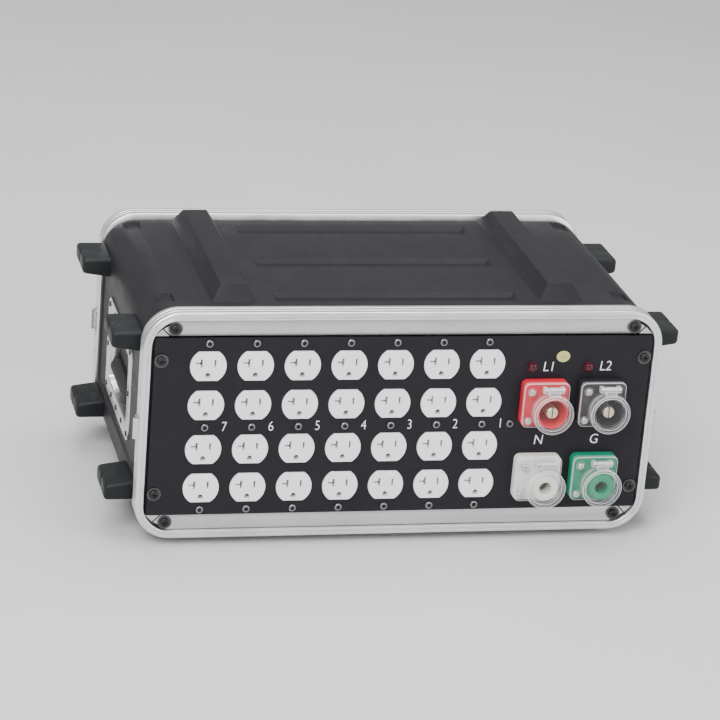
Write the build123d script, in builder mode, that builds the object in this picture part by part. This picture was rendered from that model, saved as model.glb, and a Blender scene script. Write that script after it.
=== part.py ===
"""Portable power distribution box: a moulded 4-unit rack case with two aluminium end rings,
a front panel of duplex outlets and four single-pole inlets, and breakers on the rear panel.

Frame: +X to the right of someone facing the outlets, +Y towards the rear, +Z up. The origin is
at floor level under the middle of the whole object with its inlet lids closed.
"""
import os

from build123d import *

os.makedirs("parts", exist_ok=True)

# ---------------------------------------------------------------- driving dimensions, mm
CASE_DEPTH = 303.0          # front rim plane to rear rim plane
CUP_REACH = 27.0            # closed inlet lids stand this far in front of the rim
FRONT_Y = CUP_REACH - (CASE_DEPTH + CUP_REACH) / 2
REAR_Y = FRONT_Y + CASE_DEPTH
MID_Z = 122.0               # centre line of the panels above the floor

RING_W, RING_H = 499.0, 226.0
RING_DEPTH = 19.0
RING_RADIUS = 34.0
RING_WALL = 8.0

SHELL_W, SHELL_H = 496.0, 214.0
SHELL_RADIUS = 30.0
SHELL_WALL = 4.0
NECK_SETBACK = 6.0          # the shell's neck stops this far inside the rim plane

RIB_HEIGHT = 15.0
RIB_FOOT_W, RIB_TOP_W = 43.0, 23.5
RIB_X = 159.0
RIB_FRONT, RIB_REAR = 45.0, 283.0

BUMPER_REACH = 275.0        # outermost X of the side bumpers
BUMPER_DEPTH = 53.0
BUMPER_TOP = 84.5           # outer flat of a bumper, from the centre line
BUMPER_ROOT, BUMPER_TIP = 20.0, 15.0
BUMPER_STARTS = (26.0, 228.0)

PANEL_W, PANEL_H, PANEL_T = 478.0, 177.0, 3.0
RACK_HOLE_X, RACK_HOLE_Z = 232.55, 66.675
REAR_PANEL_SETBACK = 12.0
REAR_PANEL_W, REAR_HOLE_X = 474.0, 228.5

OUTLET_PITCH = 44.45
OUTLET_GRID_X = -55.2
DUPLEX_Z = 41.65            # duplex centres above and below the centre line
FACE_Z = 19.45              # each face from its duplex centre
FACE_R, FACE_H = 17.05, 28.6
FACE_PROUD = 1.5

INLET_X = (141.0, 197.0)
INLET_Z = (17.6, -58.7)
FLANGE_SIZE, FLANGE_T = 45.0, 9.0
FLANGE_SHIFT = (-5.0, 5.5)  # flange centre from the contact's centre line
COVER_T = 4.0
CUP_R, CUP_BORE = 19.5, 16.6
HINGE_RISE = 22.5           # hinge pin above the contact's centre line
HINGE_OUT = 17.5            # hinge pin in front of the panel
PIN_R = 1.2
RUNNING_GAP = 0.05

HANDLE_PLATE = (150.0, 98.0)
HANDLE_Y = 152.0            # middle of the handle plates behind the front rim
DISH = (118.0, 68.0, 17.0)
SIDE_RECESS = 2.0
HANDLE_PIVOT_Z = 26.0
HANDLE_DROP = 42.0
GRIP_R = 7.5

BREAKER_W, BREAKER_H, BREAKER_D = 18.0, 82.0, 58.0
BREAKER_COUNT = 7

SHELL_SIDE = SHELL_W / 2
RECESS_X = SHELL_SIDE - SIDE_RECESS
INSIDE_W = SHELL_W - 2 * SHELL_WALL
INSIDE_H = SHELL_H - 2 * SHELL_WALL


def front_plane(behind_rim):
    """Sketch plane facing the user: local x is +X, local y is +Z, positive extrusion comes out."""
    return Plane(origin=(0, FRONT_Y + behind_rim, MID_Z), x_dir=(1, 0, 0), z_dir=(0, -1, 0))


def side_plane(x):
    """Sketch plane facing right: local x is +Y from the front rim, local y is +Z from mid height."""
    return Plane(origin=(x, FRONT_Y, MID_Z), x_dir=(0, 1, 0), z_dir=(1, 0, 0))


def save(builder, name):
    """Labels a finished piece and writes it as its own STEP file."""
    builder.part.label = name
    export_step(builder.part, f"parts/{name}.step")


# ---------------------------------------------------------------- moulded case shell
rib_length = RIB_REAR - RIB_FRONT
rib_middle = (RIB_FRONT + RIB_REAR) / 2
channel_starts = (58.0, 155.0, 253.0)


def lofted_bar(base_plane, foot, top, height):
    """A straight-sided bar or channel that tapers from its foot rectangle to its top rectangle."""
    with BuildPart() as bar:
        with BuildSketch(base_plane):
            Rectangle(*foot)
        with BuildSketch(base_plane.offset(height)):
            Rectangle(*top)
        loft()
    return bar.part


ribs = []
for rib_side in (1, -1):
    for rib_x in (-RIB_X, RIB_X):
        rib_plane = Plane(
            origin=(rib_x, FRONT_Y + rib_middle, MID_Z + rib_side * SHELL_H / 2),
            x_dir=(1, 0, 0),
            z_dir=(0, 0, rib_side),
        )
        rib_top = (RIB_TOP_W, rib_length - 2 * RIB_HEIGHT)
        ribs.append(lofted_bar(rib_plane, (RIB_FOOT_W, rib_length), rib_top, RIB_HEIGHT))

channels = []
for channel_y in channel_starts:
    channel_plane = Plane(origin=(0, FRONT_Y + channel_y, MID_Z + SHELL_H / 2), z_dir=(0, 0, -1))
    channels.append(lofted_bar(channel_plane, (238, 24), (222, 14), 3))

with BuildPart() as case_shell:
    with BuildSketch(front_plane(RING_DEPTH)):
        RectangleRounded(SHELL_W, SHELL_H, SHELL_RADIUS)
    extrude(amount=-(CASE_DEPTH - 2 * RING_DEPTH))
    with BuildSketch(front_plane(NECK_SETBACK)):
        RectangleRounded(RING_W - 2 * RING_WALL, RING_H - 2 * RING_WALL, RING_RADIUS - RING_WALL)
    extrude(amount=-(CASE_DEPTH - 2 * NECK_SETBACK))
    # stacking ribs on the top, and the same ribs as feet on the underside
    for rib in ribs:
        add(rib)
    # open inside, from front to rear
    with BuildSketch(front_plane(NECK_SETBACK)):
        RectangleRounded(INSIDE_W - 13, INSIDE_H, SHELL_RADIUS - 9)
    extrude(amount=-(CASE_DEPTH - 2 * NECK_SETBACK), mode=Mode.SUBTRACT)
    # three shallow channels across the top with slanted ends
    for channel in channels:
        add(channel, mode=Mode.SUBTRACT)
    # corner pockets beside the rings
    for pocket_y in (60.0, 266.0):
        with BuildSketch(Plane(origin=(0, FRONT_Y + pocket_y, MID_Z + SHELL_H / 2 - 3))):
            with Locations((-222, 0), (222, 0)):
                Rectangle(16, 22)
        extrude(amount=5, mode=Mode.SUBTRACT)
    # flat recesses on both sides for the handle plates, with the dish openings through them
    for side in (1, -1):
        with BuildSketch(side_plane(side * RECESS_X)):
            with Locations((HANDLE_Y, 0)):
                RectangleRounded(CASE_DEPTH - 2 * RING_DEPTH - 24, 2 * 61, 10)
        extrude(amount=side * 10, mode=Mode.SUBTRACT)
        with BuildSketch(side_plane(side * (RECESS_X - 20))):
            with Locations((HANDLE_Y, 0)):
                RectangleRounded(DISH[0] + 3, DISH[1] + 3, 6)
        extrude(amount=side * 30, mode=Mode.SUBTRACT)
save(case_shell, "case_shell")


# ---------------------------------------------------------------- side bumpers
def bumper_block(start, side):
    """One bumper on the right wall: flat outside, tapered inside, two lobes at its end."""
    root_x = SHELL_SIDE - 3
    top = side * BUMPER_TOP
    with BuildPart() as block:
        outline = (
            (root_x, top),
            (BUMPER_REACH, top),
            (BUMPER_REACH, top - side * BUMPER_TIP),
            (root_x, top - side * BUMPER_ROOT),
        )
        with BuildSketch(front_plane(start)):
            with BuildLine():
                Polyline(*outline, close=True)
            make_face()
        extrude(amount=-BUMPER_DEPTH)
        outer = block.faces().sort_by(Axis.X)[-1]
        fillet(outer.edges(), 5)
        # groove down the middle of the outer end
        with BuildSketch(Plane(origin=(BUMPER_REACH + 1.5, FRONT_Y + start + BUMPER_DEPTH / 2, 0))):
            Circle(7)
        extrude(amount=2 * MID_Z, mode=Mode.SUBTRACT)
        # seat against the wall's rounded corner
        with BuildSketch(front_plane(0)):
            RectangleRounded(SHELL_W, SHELL_H, SHELL_RADIUS)
        extrude(amount=-CASE_DEPTH, mode=Mode.SUBTRACT)
    return block.part


bumper_parts = []
for bumper_start in BUMPER_STARTS:
    for bumper_side in (1, -1):
        bumper_parts.append(bumper_block(bumper_start, bumper_side))

with BuildPart() as bumpers_right:
    for bumper in bumper_parts:
        add(bumper)
save(bumpers_right, "bumpers_right")

left_bumper_parts = [mirror(bumper, about=Plane.YZ) for bumper in bumper_parts]
with BuildPart() as bumpers_left:
    for bumper in left_bumper_parts:
        add(bumper)
save(bumpers_left, "bumpers_left")


# ---------------------------------------------------------------- aluminium end rings
def end_ring():
    """The front ring: a grooved extrusion bent round the opening."""
    with BuildPart() as ring:
        with BuildSketch(front_plane(0)):
            RectangleRounded(RING_W, RING_H, RING_RADIUS)
        extrude(amount=-RING_DEPTH)
        fillet(ring.faces().sort_by(Axis.Y)[0].edges(), 1.6)
        with BuildSketch(front_plane(0)):
            RectangleRounded(RING_W - 2 * RING_WALL, RING_H - 2 * RING_WALL, RING_RADIUS - RING_WALL)
        extrude(amount=-RING_DEPTH, mode=Mode.SUBTRACT)
        # one groove round the rim
        with BuildSketch(front_plane(0)):
            RectangleRounded(RING_W - 7.6, RING_H - 7.6, RING_RADIUS - 3.8)
            RectangleRounded(RING_W - 10.4, RING_H - 10.4, RING_RADIUS - 5.2, mode=Mode.SUBTRACT)
        extrude(amount=-1.2, mode=Mode.SUBTRACT)
        # two grooves round the outside
        for groove_y in (5.5, 11.5):
            with BuildSketch(front_plane(groove_y)):
                RectangleRounded(RING_W + 2, RING_H + 2, RING_RADIUS + 1)
                RectangleRounded(RING_W - 1.6, RING_H - 1.6, RING_RADIUS - 0.8, mode=Mode.SUBTRACT)
            extrude(amount=-1.6, mode=Mode.SUBTRACT)
    return ring.part


mid_plane = Plane(origin=(0, (FRONT_Y + REAR_Y) / 2, 0), x_dir=(1, 0, 0), z_dir=(0, 1, 0))


def both_sides(pieces):
    """The given right-hand pieces together with their mirror images on the left."""
    return list(pieces) + [mirror(piece, about=Plane.YZ) for piece in pieces]


def both_ends(pieces):
    """The given front pieces together with their mirror images at the rear."""
    return list(pieces) + [mirror(piece, about=mid_plane) for piece in pieces]


def save_group(pieces, name):
    """Writes several separate solids as one node."""
    with BuildPart() as group:
        for piece in pieces:
            add(piece)
    save(group, name)


ring_part, rear_ring_part = both_ends([end_ring()])

with BuildPart() as front_ring:
    add(ring_part)
save(front_ring, "front_ring")

with BuildPart() as rear_ring:
    add(rear_ring_part)
save(rear_ring, "rear_ring")

# ---------------------------------------------------------------- trim strips and corner gussets
STRIP_LOW, STRIP_HIGH = 89.6, 104.4
STRIP_SETBACK, STRIP_T = 3.0, 1.5
STRIP_END = 224.0           # the lower corner of a strip's slanted end
CORNER_SCREW = (220.5, 96.8)
SCREW_R = 2.9

with BuildPart() as front_strips:
    for side in (1, -1):
        strip_slant = 7.5
        outline = (
            (-STRIP_END, side * STRIP_LOW),
            (STRIP_END, side * STRIP_LOW),
            (STRIP_END + strip_slant, side * (STRIP_LOW + strip_slant)),
            (STRIP_END - 6, side * STRIP_HIGH),
            (-STRIP_END + 6, side * STRIP_HIGH),
            (-STRIP_END - strip_slant, side * (STRIP_LOW + strip_slant)),
        )
        with BuildSketch(front_plane(STRIP_SETBACK)):
            with BuildLine():
                Polyline(*outline, close=True)
            make_face()
            with Locations((-CORNER_SCREW[0], side * CORNER_SCREW[1]), (CORNER_SCREW[0], side * CORNER_SCREW[1])):
                Circle(SCREW_R, mode=Mode.SUBTRACT)
            if side < 0:
                with Locations(*[(x, -93.8) for x in (-27, -9.5, 8, 25.5)]):
                    Circle(2.1, mode=Mode.SUBTRACT)
        extrude(amount=-STRIP_T)
save_group(both_ends([front_strips.part]), "trim_strips")

with BuildPart() as front_gussets:
    with BuildSketch(front_plane(STRIP_SETBACK)):
        for x_side in (1, -1):
            for z_side in (1, -1):
                outline = (
                    (x_side * (STRIP_END + 1.6), z_side * STRIP_LOW),
                    (x_side * (STRIP_END + 15.0), z_side * STRIP_LOW),
                    (x_side * (STRIP_END + 8.3), z_side * (STRIP_LOW + 6.7)),
                )
                with BuildLine():
                    Polyline(*outline, close=True)
                make_face()
    extrude(amount=-STRIP_T)
save_group(both_ends([front_gussets.part]), "corner_gussets")

# ---------------------------------------------------------------- lid catch plates and rivets
CATCH_Z = (-13.5, 7.6)
CATCH_PROUD = 4.5
SIDE_RIVET_Z = (57.0, 12.5, -18.0, -36.0)
RIVET_PROUD = 1.0


with BuildPart() as front_right_catch:
    with BuildSketch(Plane(origin=(0, FRONT_Y, MID_Z + CATCH_Z[0]))):
        with BuildLine():
            Polyline(
                (RING_W / 2, 4.5),
                (RING_W / 2 + CATCH_PROUD, 6.5),
                (RING_W / 2 + CATCH_PROUD, 9.5),
                (RING_W / 2 + 1.6, 9.5),
                (RING_W / 2 + 1.6, 15.5),
                (RING_W / 2, 15.5),
                close=True,
            )
        make_face()
    extrude(amount=CATCH_Z[1] - CATCH_Z[0])
save_group(both_ends(both_sides([front_right_catch.part])), "lid_catches")

with BuildPart() as front_right_rivets:
    for rivet_z in SIDE_RIVET_Z:
        rivet_plane = Plane(
            origin=(RING_W / 2, FRONT_Y + 9.3, MID_Z + rivet_z),
            x_dir=(0, 1, 0),
            z_dir=(1, 0, 0),
        )
        with BuildSketch(rivet_plane):
            Circle(2.2)
        extrude(amount=RIVET_PROUD)
    fillet(front_right_rivets.faces().filter_by(Axis.X).sort_by(Axis.X)[-4:].edges(), 0.6)
with BuildPart() as splice_rivets:
    with BuildSketch(front_plane(STRIP_SETBACK)):
        with Locations(*[(x, -93.8) for x in (-27, -9.5, 8, 25.5)]):
            Circle(2.0)
    extrude(amount=0.8)
    extrude(splice_rivets.faces().sort_by(Axis.Y)[-4:], amount=STRIP_T)
rivet_groups = both_sides([front_right_rivets.part]) + [splice_rivets.part]
save_group(both_ends(rivet_groups), "frame_rivets")

# ---------------------------------------------------------------- rack rails
RAIL_T = 1.8
RAIL_X = (222.0, 237.4)
RAIL_HALF = 80.0


def rack_rails(panel_back, hole_x):
    """The right-hand steel angle whose front leg carries a panel's ear."""
    with BuildPart() as rail:
        with BuildSketch(Plane(origin=(0, FRONT_Y + panel_back, MID_Z - RAIL_HALF))):
            with BuildLine():
                Polyline(
                    (RAIL_X[0], 0),
                    (RAIL_X[1], 0),
                    (RAIL_X[1], 30),
                    (RAIL_X[1] - RAIL_T, 30),
                    (RAIL_X[1] - RAIL_T, RAIL_T),
                    (RAIL_X[0], RAIL_T),
                    close=True,
                )
            make_face()
        extrude(amount=2 * RAIL_HALF)
        with BuildSketch(front_plane(panel_back)):
            with Locations((hole_x, RACK_HOLE_Z), (hole_x, -RACK_HOLE_Z)):
                Circle(SCREW_R)
        extrude(amount=-RAIL_T, mode=Mode.SUBTRACT)
    return rail.part


save_group(both_sides([rack_rails(PANEL_T, RACK_HOLE_X)]), "rack_rails_front")

rear_rails = both_sides([rack_rails(REAR_PANEL_SETBACK + PANEL_T, REAR_HOLE_X)])
save_group([mirror(rail, about=mid_plane) for rail in rear_rails], "rack_rails_rear")

# ---------------------------------------------------------------- front panel
column_x = [OUTLET_GRID_X + (column - 3) * OUTLET_PITCH for column in range(7)]
duplex_centres = [(x, z) for z in (DUPLEX_Z, -DUPLEX_Z) for x in column_x]
face_centres = [(x, z + dz) for x, z in duplex_centres for dz in (FACE_Z, -FACE_Z)]
yoke_screw_places = [(x, z) for x in column_x for z in (2 * DUPLEX_Z, 0, -2 * DUPLEX_Z)]
spare_screw = (105.9, 0.0)
inlet_centres = [(x, z) for z in INLET_Z for x in INLET_X]
inlet_names = ("l1", "l2", "n", "g")
lamp_places = ((122.2, 57.6), (177.8, 57.6))
YOKE_SCREW_R = 1.7
YOKE_HEAD_R = 3.7
BODY_HOLE_R = 17.5
LAMP_R = 4.6
COVER_SCREWS = ((-20.0, 19.0), (-21.5, -10.0))
COVER_SCREW_R = 1.6
cover_screw_places = [(x + dx, z + dz) for x, z in inlet_centres for dx, dz in COVER_SCREWS]
RACK_HOLES = [(x, z) for x in (-RACK_HOLE_X, RACK_HOLE_X) for z in (-RACK_HOLE_Z, RACK_HOLE_Z)]
REAR_HOLES = [(x, z) for x in (-REAR_HOLE_X, REAR_HOLE_X) for z in (-RACK_HOLE_Z, RACK_HOLE_Z)]


def outlet_outline(clearance=0.0):
    """The face of one outlet: a circle cut flat above and below."""
    with BuildSketch(mode=Mode.PRIVATE) as outline:
        Circle(FACE_R + clearance)
        Rectangle(3 * FACE_R, FACE_H + 2 * clearance, mode=Mode.INTERSECT)
    return outline.sketch


with BuildPart() as front_panel:
    with BuildSketch(front_plane(PANEL_T)):
        RectangleRounded(PANEL_W, PANEL_H, 1.5)
        with Locations(*face_centres):
            add(outlet_outline(0.35), mode=Mode.SUBTRACT)
        with Locations(*yoke_screw_places, spare_screw):
            Circle(YOKE_SCREW_R, mode=Mode.SUBTRACT)
        with Locations(*inlet_centres):
            Circle(BODY_HOLE_R, mode=Mode.SUBTRACT)
        with Locations(*lamp_places):
            Circle(LAMP_R, mode=Mode.SUBTRACT)
        with Locations(*cover_screw_places):
            Circle(COVER_SCREW_R, mode=Mode.SUBTRACT)
        with Locations(*RACK_HOLES):
            Circle(SCREW_R, mode=Mode.SUBTRACT)
    extrude(amount=PANEL_T)
save(front_panel, "front_panel")

# ---------------------------------------------------------------- duplex outlets
FRONT_MOULDING_BACK = 8.0
BODY_BACK = 28.0
STRAP_T = 1.5
BODY_SIZE = (33.0, 66.0)
SLOT_RAISE = 3.1            # blade slots above the middle of a face
BLADE_X = 6.35
CONTACT_SIZE = (2.4, 54.0)

with BuildPart() as one_front:
    with BuildSketch(front_plane(PANEL_T)):
        Rectangle(*BODY_SIZE)
    extrude(amount=-(FRONT_MOULDING_BACK - PANEL_T))
    with BuildSketch(front_plane(PANEL_T)):
        with Locations((0, FACE_Z), (0, -FACE_Z)):
            add(outlet_outline())
    extrude(amount=PANEL_T + FACE_PROUD)
    fillet(one_front.faces().sort_by(Axis.Y)[:2].edges(), 0.6)
    with BuildSketch(front_plane(-FACE_PROUD)):
        for dz in (FACE_Z, -FACE_Z):
            with Locations((-BLADE_X, dz + SLOT_RAISE)):
                Rectangle(2.1, 8.2)
            with Locations((-BLADE_X - 2.9, dz + SLOT_RAISE)):
                Rectangle(5.4, 2.1)
            with Locations((BLADE_X, dz + SLOT_RAISE)):
                Rectangle(1.9, 7.0)
            with Locations((0, dz - 8.7)):
                Circle(2.45)
            with Locations((0, dz - 8.7 - 1.225)):
                Rectangle(4.9, 2.45)
            with Locations((0, dz - 8.7 - 3.7)):
                Rectangle(5.2, 2.5, mode=Mode.SUBTRACT)
    extrude(amount=-(FACE_PROUD + FRONT_MOULDING_BACK), mode=Mode.SUBTRACT)

with BuildPart() as one_body:
    with BuildSketch(front_plane(FRONT_MOULDING_BACK)):
        Rectangle(*BODY_SIZE)
    extrude(amount=-(BODY_BACK - FRONT_MOULDING_BACK))
    with BuildSketch(front_plane(FRONT_MOULDING_BACK)):
        with Locations((-BLADE_X, 0), (0, 0), (BLADE_X, 0)):
            Rectangle(*CONTACT_SIZE)
    extrude(amount=-12, mode=Mode.SUBTRACT)

with BuildPart() as one_contact_set:
    with BuildSketch(front_plane(FRONT_MOULDING_BACK)):
        with Locations((-BLADE_X, 0), (0, 0), (BLADE_X, 0)):
            Rectangle(*CONTACT_SIZE)
    extrude(amount=-12)

with BuildPart() as one_strap:
    ear = 41.3
    leg = BODY_SIZE[1] / 2 + 0.1
    with BuildSketch(side_plane(-8)):
        with BuildLine():
            Polyline(
                (PANEL_T, ear),
                (PANEL_T, leg),
                (BODY_BACK + 0.1, leg),
                (BODY_BACK + 0.1, -leg),
                (PANEL_T, -leg),
                (PANEL_T, -ear),
                (PANEL_T + STRAP_T, -ear),
                (PANEL_T + STRAP_T, -leg - STRAP_T),
                (BODY_BACK + 0.1 + STRAP_T, -leg - STRAP_T),
                (BODY_BACK + 0.1 + STRAP_T, leg + STRAP_T),
                (PANEL_T + STRAP_T, leg + STRAP_T),
                (PANEL_T + STRAP_T, ear),
                close=True,
            )
        make_face()
    extrude(amount=16)
    with BuildSketch(front_plane(PANEL_T)):
        with Locations((0, DUPLEX_Z), (0, -DUPLEX_Z)):
            Circle(YOKE_SCREW_R)
    extrude(amount=-STRAP_T, mode=Mode.SUBTRACT)


def placed(piece, centres):
    """Copies of a piece modelled on the panel's centre, one at each centre."""
    return [Pos(x, 0, z) * piece for x, z in centres]


for group_name, duplex_piece in (
    ("outlet_faces", one_front.part),
    ("outlet_bodies", one_body.part),
    ("outlet_contacts", one_contact_set.part),
    ("outlet_straps", one_strap.part),
):
    save_group(placed(duplex_piece, duplex_centres), group_name)

# ---------------------------------------------------------------- screws
def cross_screw(seat, head_r, head_h, shank_r, shank_end):
    """A cross-recess screw on the panel's centre, its head sitting on the plane at seat."""
    with BuildPart() as screw:
        with BuildSketch(front_plane(seat)):
            Circle(head_r)
        extrude(amount=head_h)
        fillet(screw.faces().sort_by(Axis.Y)[0].edges(), head_h * 0.55)
        with BuildSketch(front_plane(seat)):
            Circle(shank_r)
        extrude(amount=-(shank_end - seat))
        with BuildSketch(front_plane(seat - head_h)):
            Rectangle(head_r * 1.1, head_r * 0.24)
            Rectangle(head_r * 0.24, head_r * 1.1)
        extrude(amount=-head_h * 0.7, mode=Mode.SUBTRACT)
    return screw.part


WASHER_R, WASHER_T = 6.7, 1.2
BLACK_HEAD_R, BLACK_HEAD_H = 4.6, 2.6
yoke_screw = cross_screw(0, YOKE_HEAD_R, 1.9, YOKE_SCREW_R, 9)
save_group(placed(yoke_screw, yoke_screw_places + [spare_screw]), "yoke_screws")

corner_places = [(x * CORNER_SCREW[0], z * CORNER_SCREW[1]) for x in (-1, 1) for z in (-1, 1)]
black_screws = []
black_washers = []
for seat, places, at_rear in (
    (0, RACK_HOLES, False),
    (REAR_PANEL_SETBACK, REAR_HOLES, True),
    (STRIP_SETBACK, corner_places, False),
    (STRIP_SETBACK, corner_places, True),
):
    screw_part = cross_screw(seat - WASHER_T, BLACK_HEAD_R, BLACK_HEAD_H, SCREW_R, seat + 9)
    with BuildPart() as washer:
        with BuildSketch(front_plane(seat)):
            Circle(WASHER_R)
            Circle(SCREW_R, mode=Mode.SUBTRACT)
        extrude(amount=WASHER_T)
    for pieces, one in ((black_screws, screw_part), (black_washers, washer.part)):
        copies = placed(one, places)
        if at_rear:
            copies = [mirror(copy, about=mid_plane) for copy in copies]
        pieces.extend(copies)
save_group(black_screws, "black_screws")
save_group(black_washers, "black_washers")

# ---------------------------------------------------------------- single-pole inlets
COLLAR_R, COLLAR_BORE = 15.2, 13.0
COLLAR_REACH = 21.0
PLUG_REACH = 23.0
REAR_BODY_R, REAR_BODY_END = 17.0, 24.0
WELL_END = 12.0
PIN_CONTACT_R, PIN_TIP = 5.6, 19.0
STUD_R = 5.0
SOCKET_R, SOCKET_BORE, SOCKET_MOUTH, SOCKET_DEPTH = 8.0, 5.7, 10.0, 28.0
STUD_END = 36.0
KNUCKLE_R = 3.2
BARREL_HALF = 6.0
KNUCKLE_W = 4.0


def inlet_flange(bore_r):
    """The square flange with the body behind the panel, bored right through."""
    with BuildPart() as flange:
        with BuildSketch(front_plane(0)):
            with Locations(FLANGE_SHIFT):
                RectangleRounded(FLANGE_SIZE, FLANGE_SIZE, 5)
        extrude(amount=FLANGE_T)
        with BuildSketch(front_plane(0)):
            Circle(REAR_BODY_R)
        extrude(amount=-REAR_BODY_END)
        with BuildSketch(front_plane(-FLANGE_T)):
            Circle(bore_r)
        extrude(amount=-(FLANGE_T + REAR_BODY_END), mode=Mode.SUBTRACT)
        with BuildSketch(front_plane(-FLANGE_T)):
            with Locations(*COVER_SCREWS):
                Circle(COVER_SCREW_R)
        extrude(amount=-FLANGE_T, mode=Mode.SUBTRACT)
    return flange.part


male_flange = inlet_flange(COLLAR_BORE)
with BuildPart() as male_body:
    add(male_flange)
    with BuildSketch(front_plane(-FLANGE_T)):
        Circle(COLLAR_R)
        Circle(COLLAR_BORE, mode=Mode.SUBTRACT)
    extrude(amount=COLLAR_REACH - FLANGE_T)
    with BuildSketch(front_plane(WELL_END)):
        Circle(COLLAR_BORE)
        Circle(STUD_R, mode=Mode.SUBTRACT)
    extrude(amount=-(REAR_BODY_END - WELL_END))

# the female inlet's insulator is its own sleeve, pushed into the flange
SLEEVE_NECK_R = 10.5
female_flange = inlet_flange(SLEEVE_NECK_R)
with BuildPart() as female_sleeve:
    with BuildSketch(front_plane(-FLANGE_T - RUNNING_GAP)):
        Circle(COLLAR_BORE)
    extrude(amount=PLUG_REACH - FLANGE_T - RUNNING_GAP)
    with BuildSketch(front_plane(-FLANGE_T - RUNNING_GAP)):
        Circle(SLEEVE_NECK_R - RUNNING_GAP)
    extrude(amount=-(FLANGE_T + RUNNING_GAP + REAR_BODY_END))
    with BuildSketch(front_plane(-PLUG_REACH)):
        Circle(SOCKET_BORE + 0.4)
    extrude(amount=-(PLUG_REACH - SOCKET_MOUTH), mode=Mode.SUBTRACT)
    with BuildSketch(front_plane(-SOCKET_MOUTH)):
        Circle(SOCKET_R)
    extrude(amount=-(SOCKET_MOUTH + REAR_BODY_END), mode=Mode.SUBTRACT)

with BuildPart() as pin_contact:
    with BuildSketch(front_plane(-PIN_TIP)):
        Circle(PIN_CONTACT_R)
    extrude(amount=-(PIN_TIP + WELL_END))
    chamfer(pin_contact.edges().sort_by(Axis.Y)[0], 0.6)
    with BuildSketch(front_plane(WELL_END)):
        Circle(STUD_R)
    extrude(amount=-(STUD_END - WELL_END))
    with BuildSketch(front_plane(-PIN_TIP)):
        Rectangle(1.2, 3 * PIN_CONTACT_R)
    extrude(amount=-9, mode=Mode.SUBTRACT)

with BuildPart() as socket_contact:
    with BuildSketch(front_plane(-SOCKET_MOUTH)):
        Circle(SOCKET_R)
    extrude(amount=-(SOCKET_MOUTH + REAR_BODY_END))
    with BuildSketch(front_plane(REAR_BODY_END)):
        Circle(STUD_R)
    extrude(amount=-(STUD_END - REAR_BODY_END))
    with BuildSketch(front_plane(-SOCKET_MOUTH)):
        Circle(SOCKET_BORE)
    extrude(amount=-SOCKET_DEPTH, mode=Mode.SUBTRACT)

for name, centre in zip(inlet_names, inlet_centres):
    body_parts = [male_body.part] if name in ("l1", "l2") else [female_flange, female_sleeve.part]
    save_group([one for piece in body_parts for one in placed(piece, [centre])], f"inlet_body_{name}")
save_group(placed(pin_contact.part, inlet_centres[:2]), "inlet_pins")
save_group(placed(socket_contact.part, inlet_centres[2:]), "inlet_sockets")

# clear cover plate with two hinge knuckles
knuckle_x = BARREL_HALF + 0.3 + KNUCKLE_W / 2
cover_front = FLANGE_T + COVER_T
with BuildPart() as cover_plate:
    with BuildSketch(front_plane(-FLANGE_T)):
        with Locations(FLANGE_SHIFT):
            RectangleRounded(FLANGE_SIZE, FLANGE_SIZE, 5)
        Circle(COLLAR_R + 0.5, mode=Mode.SUBTRACT)
        with Locations(*COVER_SCREWS):
            Circle(COVER_SCREW_R, mode=Mode.SUBTRACT)
    extrude(amount=COVER_T)
    for x in (-knuckle_x, knuckle_x):
        with BuildSketch(side_plane(x - KNUCKLE_W / 2)):
            with Locations((-(cover_front + HINGE_OUT) / 2, HINGE_RISE)):
                Rectangle(HINGE_OUT - cover_front, 2 * KNUCKLE_R)
            with Locations((-HINGE_OUT, HINGE_RISE)):
                Circle(KNUCKLE_R)
                Circle(PIN_R, mode=Mode.SUBTRACT)
        extrude(amount=KNUCKLE_W)
save_group(placed(cover_plate.part, inlet_centres), "inlet_covers")

with BuildPart() as hinge_pin:
    with BuildSketch(side_plane(-knuckle_x - KNUCKLE_W / 2)):
        with Locations((-HINGE_OUT, HINGE_RISE)):
            Circle(PIN_R)
    extrude(amount=2 * knuckle_x + KNUCKLE_W)
save_group(placed(hinge_pin.part, inlet_centres), "inlet_hinge_pins")

cover_screw = cross_screw(-cover_front, 3.2, 2.2, COVER_SCREW_R, PANEL_T + 3)
save_group(placed(cover_screw, cover_screw_places), "inlet_cover_screws")

# the flip lid: a clear cup on a hinge barrel
CUP_BACK = cover_front + 0.4
CUP_FLOOR = 2.4
with BuildPart() as lid:
    with BuildSketch(front_plane(-CUP_BACK)):
        Circle(CUP_R)
    extrude(amount=CUP_REACH - CUP_BACK)
    fillet(lid.faces().sort_by(Axis.Y)[0].edges(), 1.2)
    with BuildSketch(front_plane(-CUP_BACK)):
        Circle(CUP_BORE)
    extrude(amount=CUP_REACH - CUP_FLOOR - CUP_BACK, mode=Mode.SUBTRACT)
    with BuildSketch(front_plane(-CUP_REACH)):
        Circle(15)
    extrude(amount=-0.7, mode=Mode.SUBTRACT)
    with BuildSketch(side_plane(-BARREL_HALF)):
        with Locations((-HINGE_OUT, HINGE_RISE)):
            Circle(KNUCKLE_R)
        with Locations((-HINGE_OUT - 0.6, (HINGE_RISE + CUP_R) / 2 - 1)):
            Rectangle(5.0, HINGE_RISE - CUP_R + 4)
    extrude(amount=2 * BARREL_HALF)
    with BuildSketch(side_plane(-BARREL_HALF)):
        with Locations((-HINGE_OUT, HINGE_RISE)):
            Circle(PIN_R + RUNNING_GAP)
    extrude(amount=2 * BARREL_HALF, mode=Mode.SUBTRACT)
for name, centre in zip(inlet_names, inlet_centres):
    save_group(placed(lid.part, [centre]), f"inlet_lid_{name}")

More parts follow.
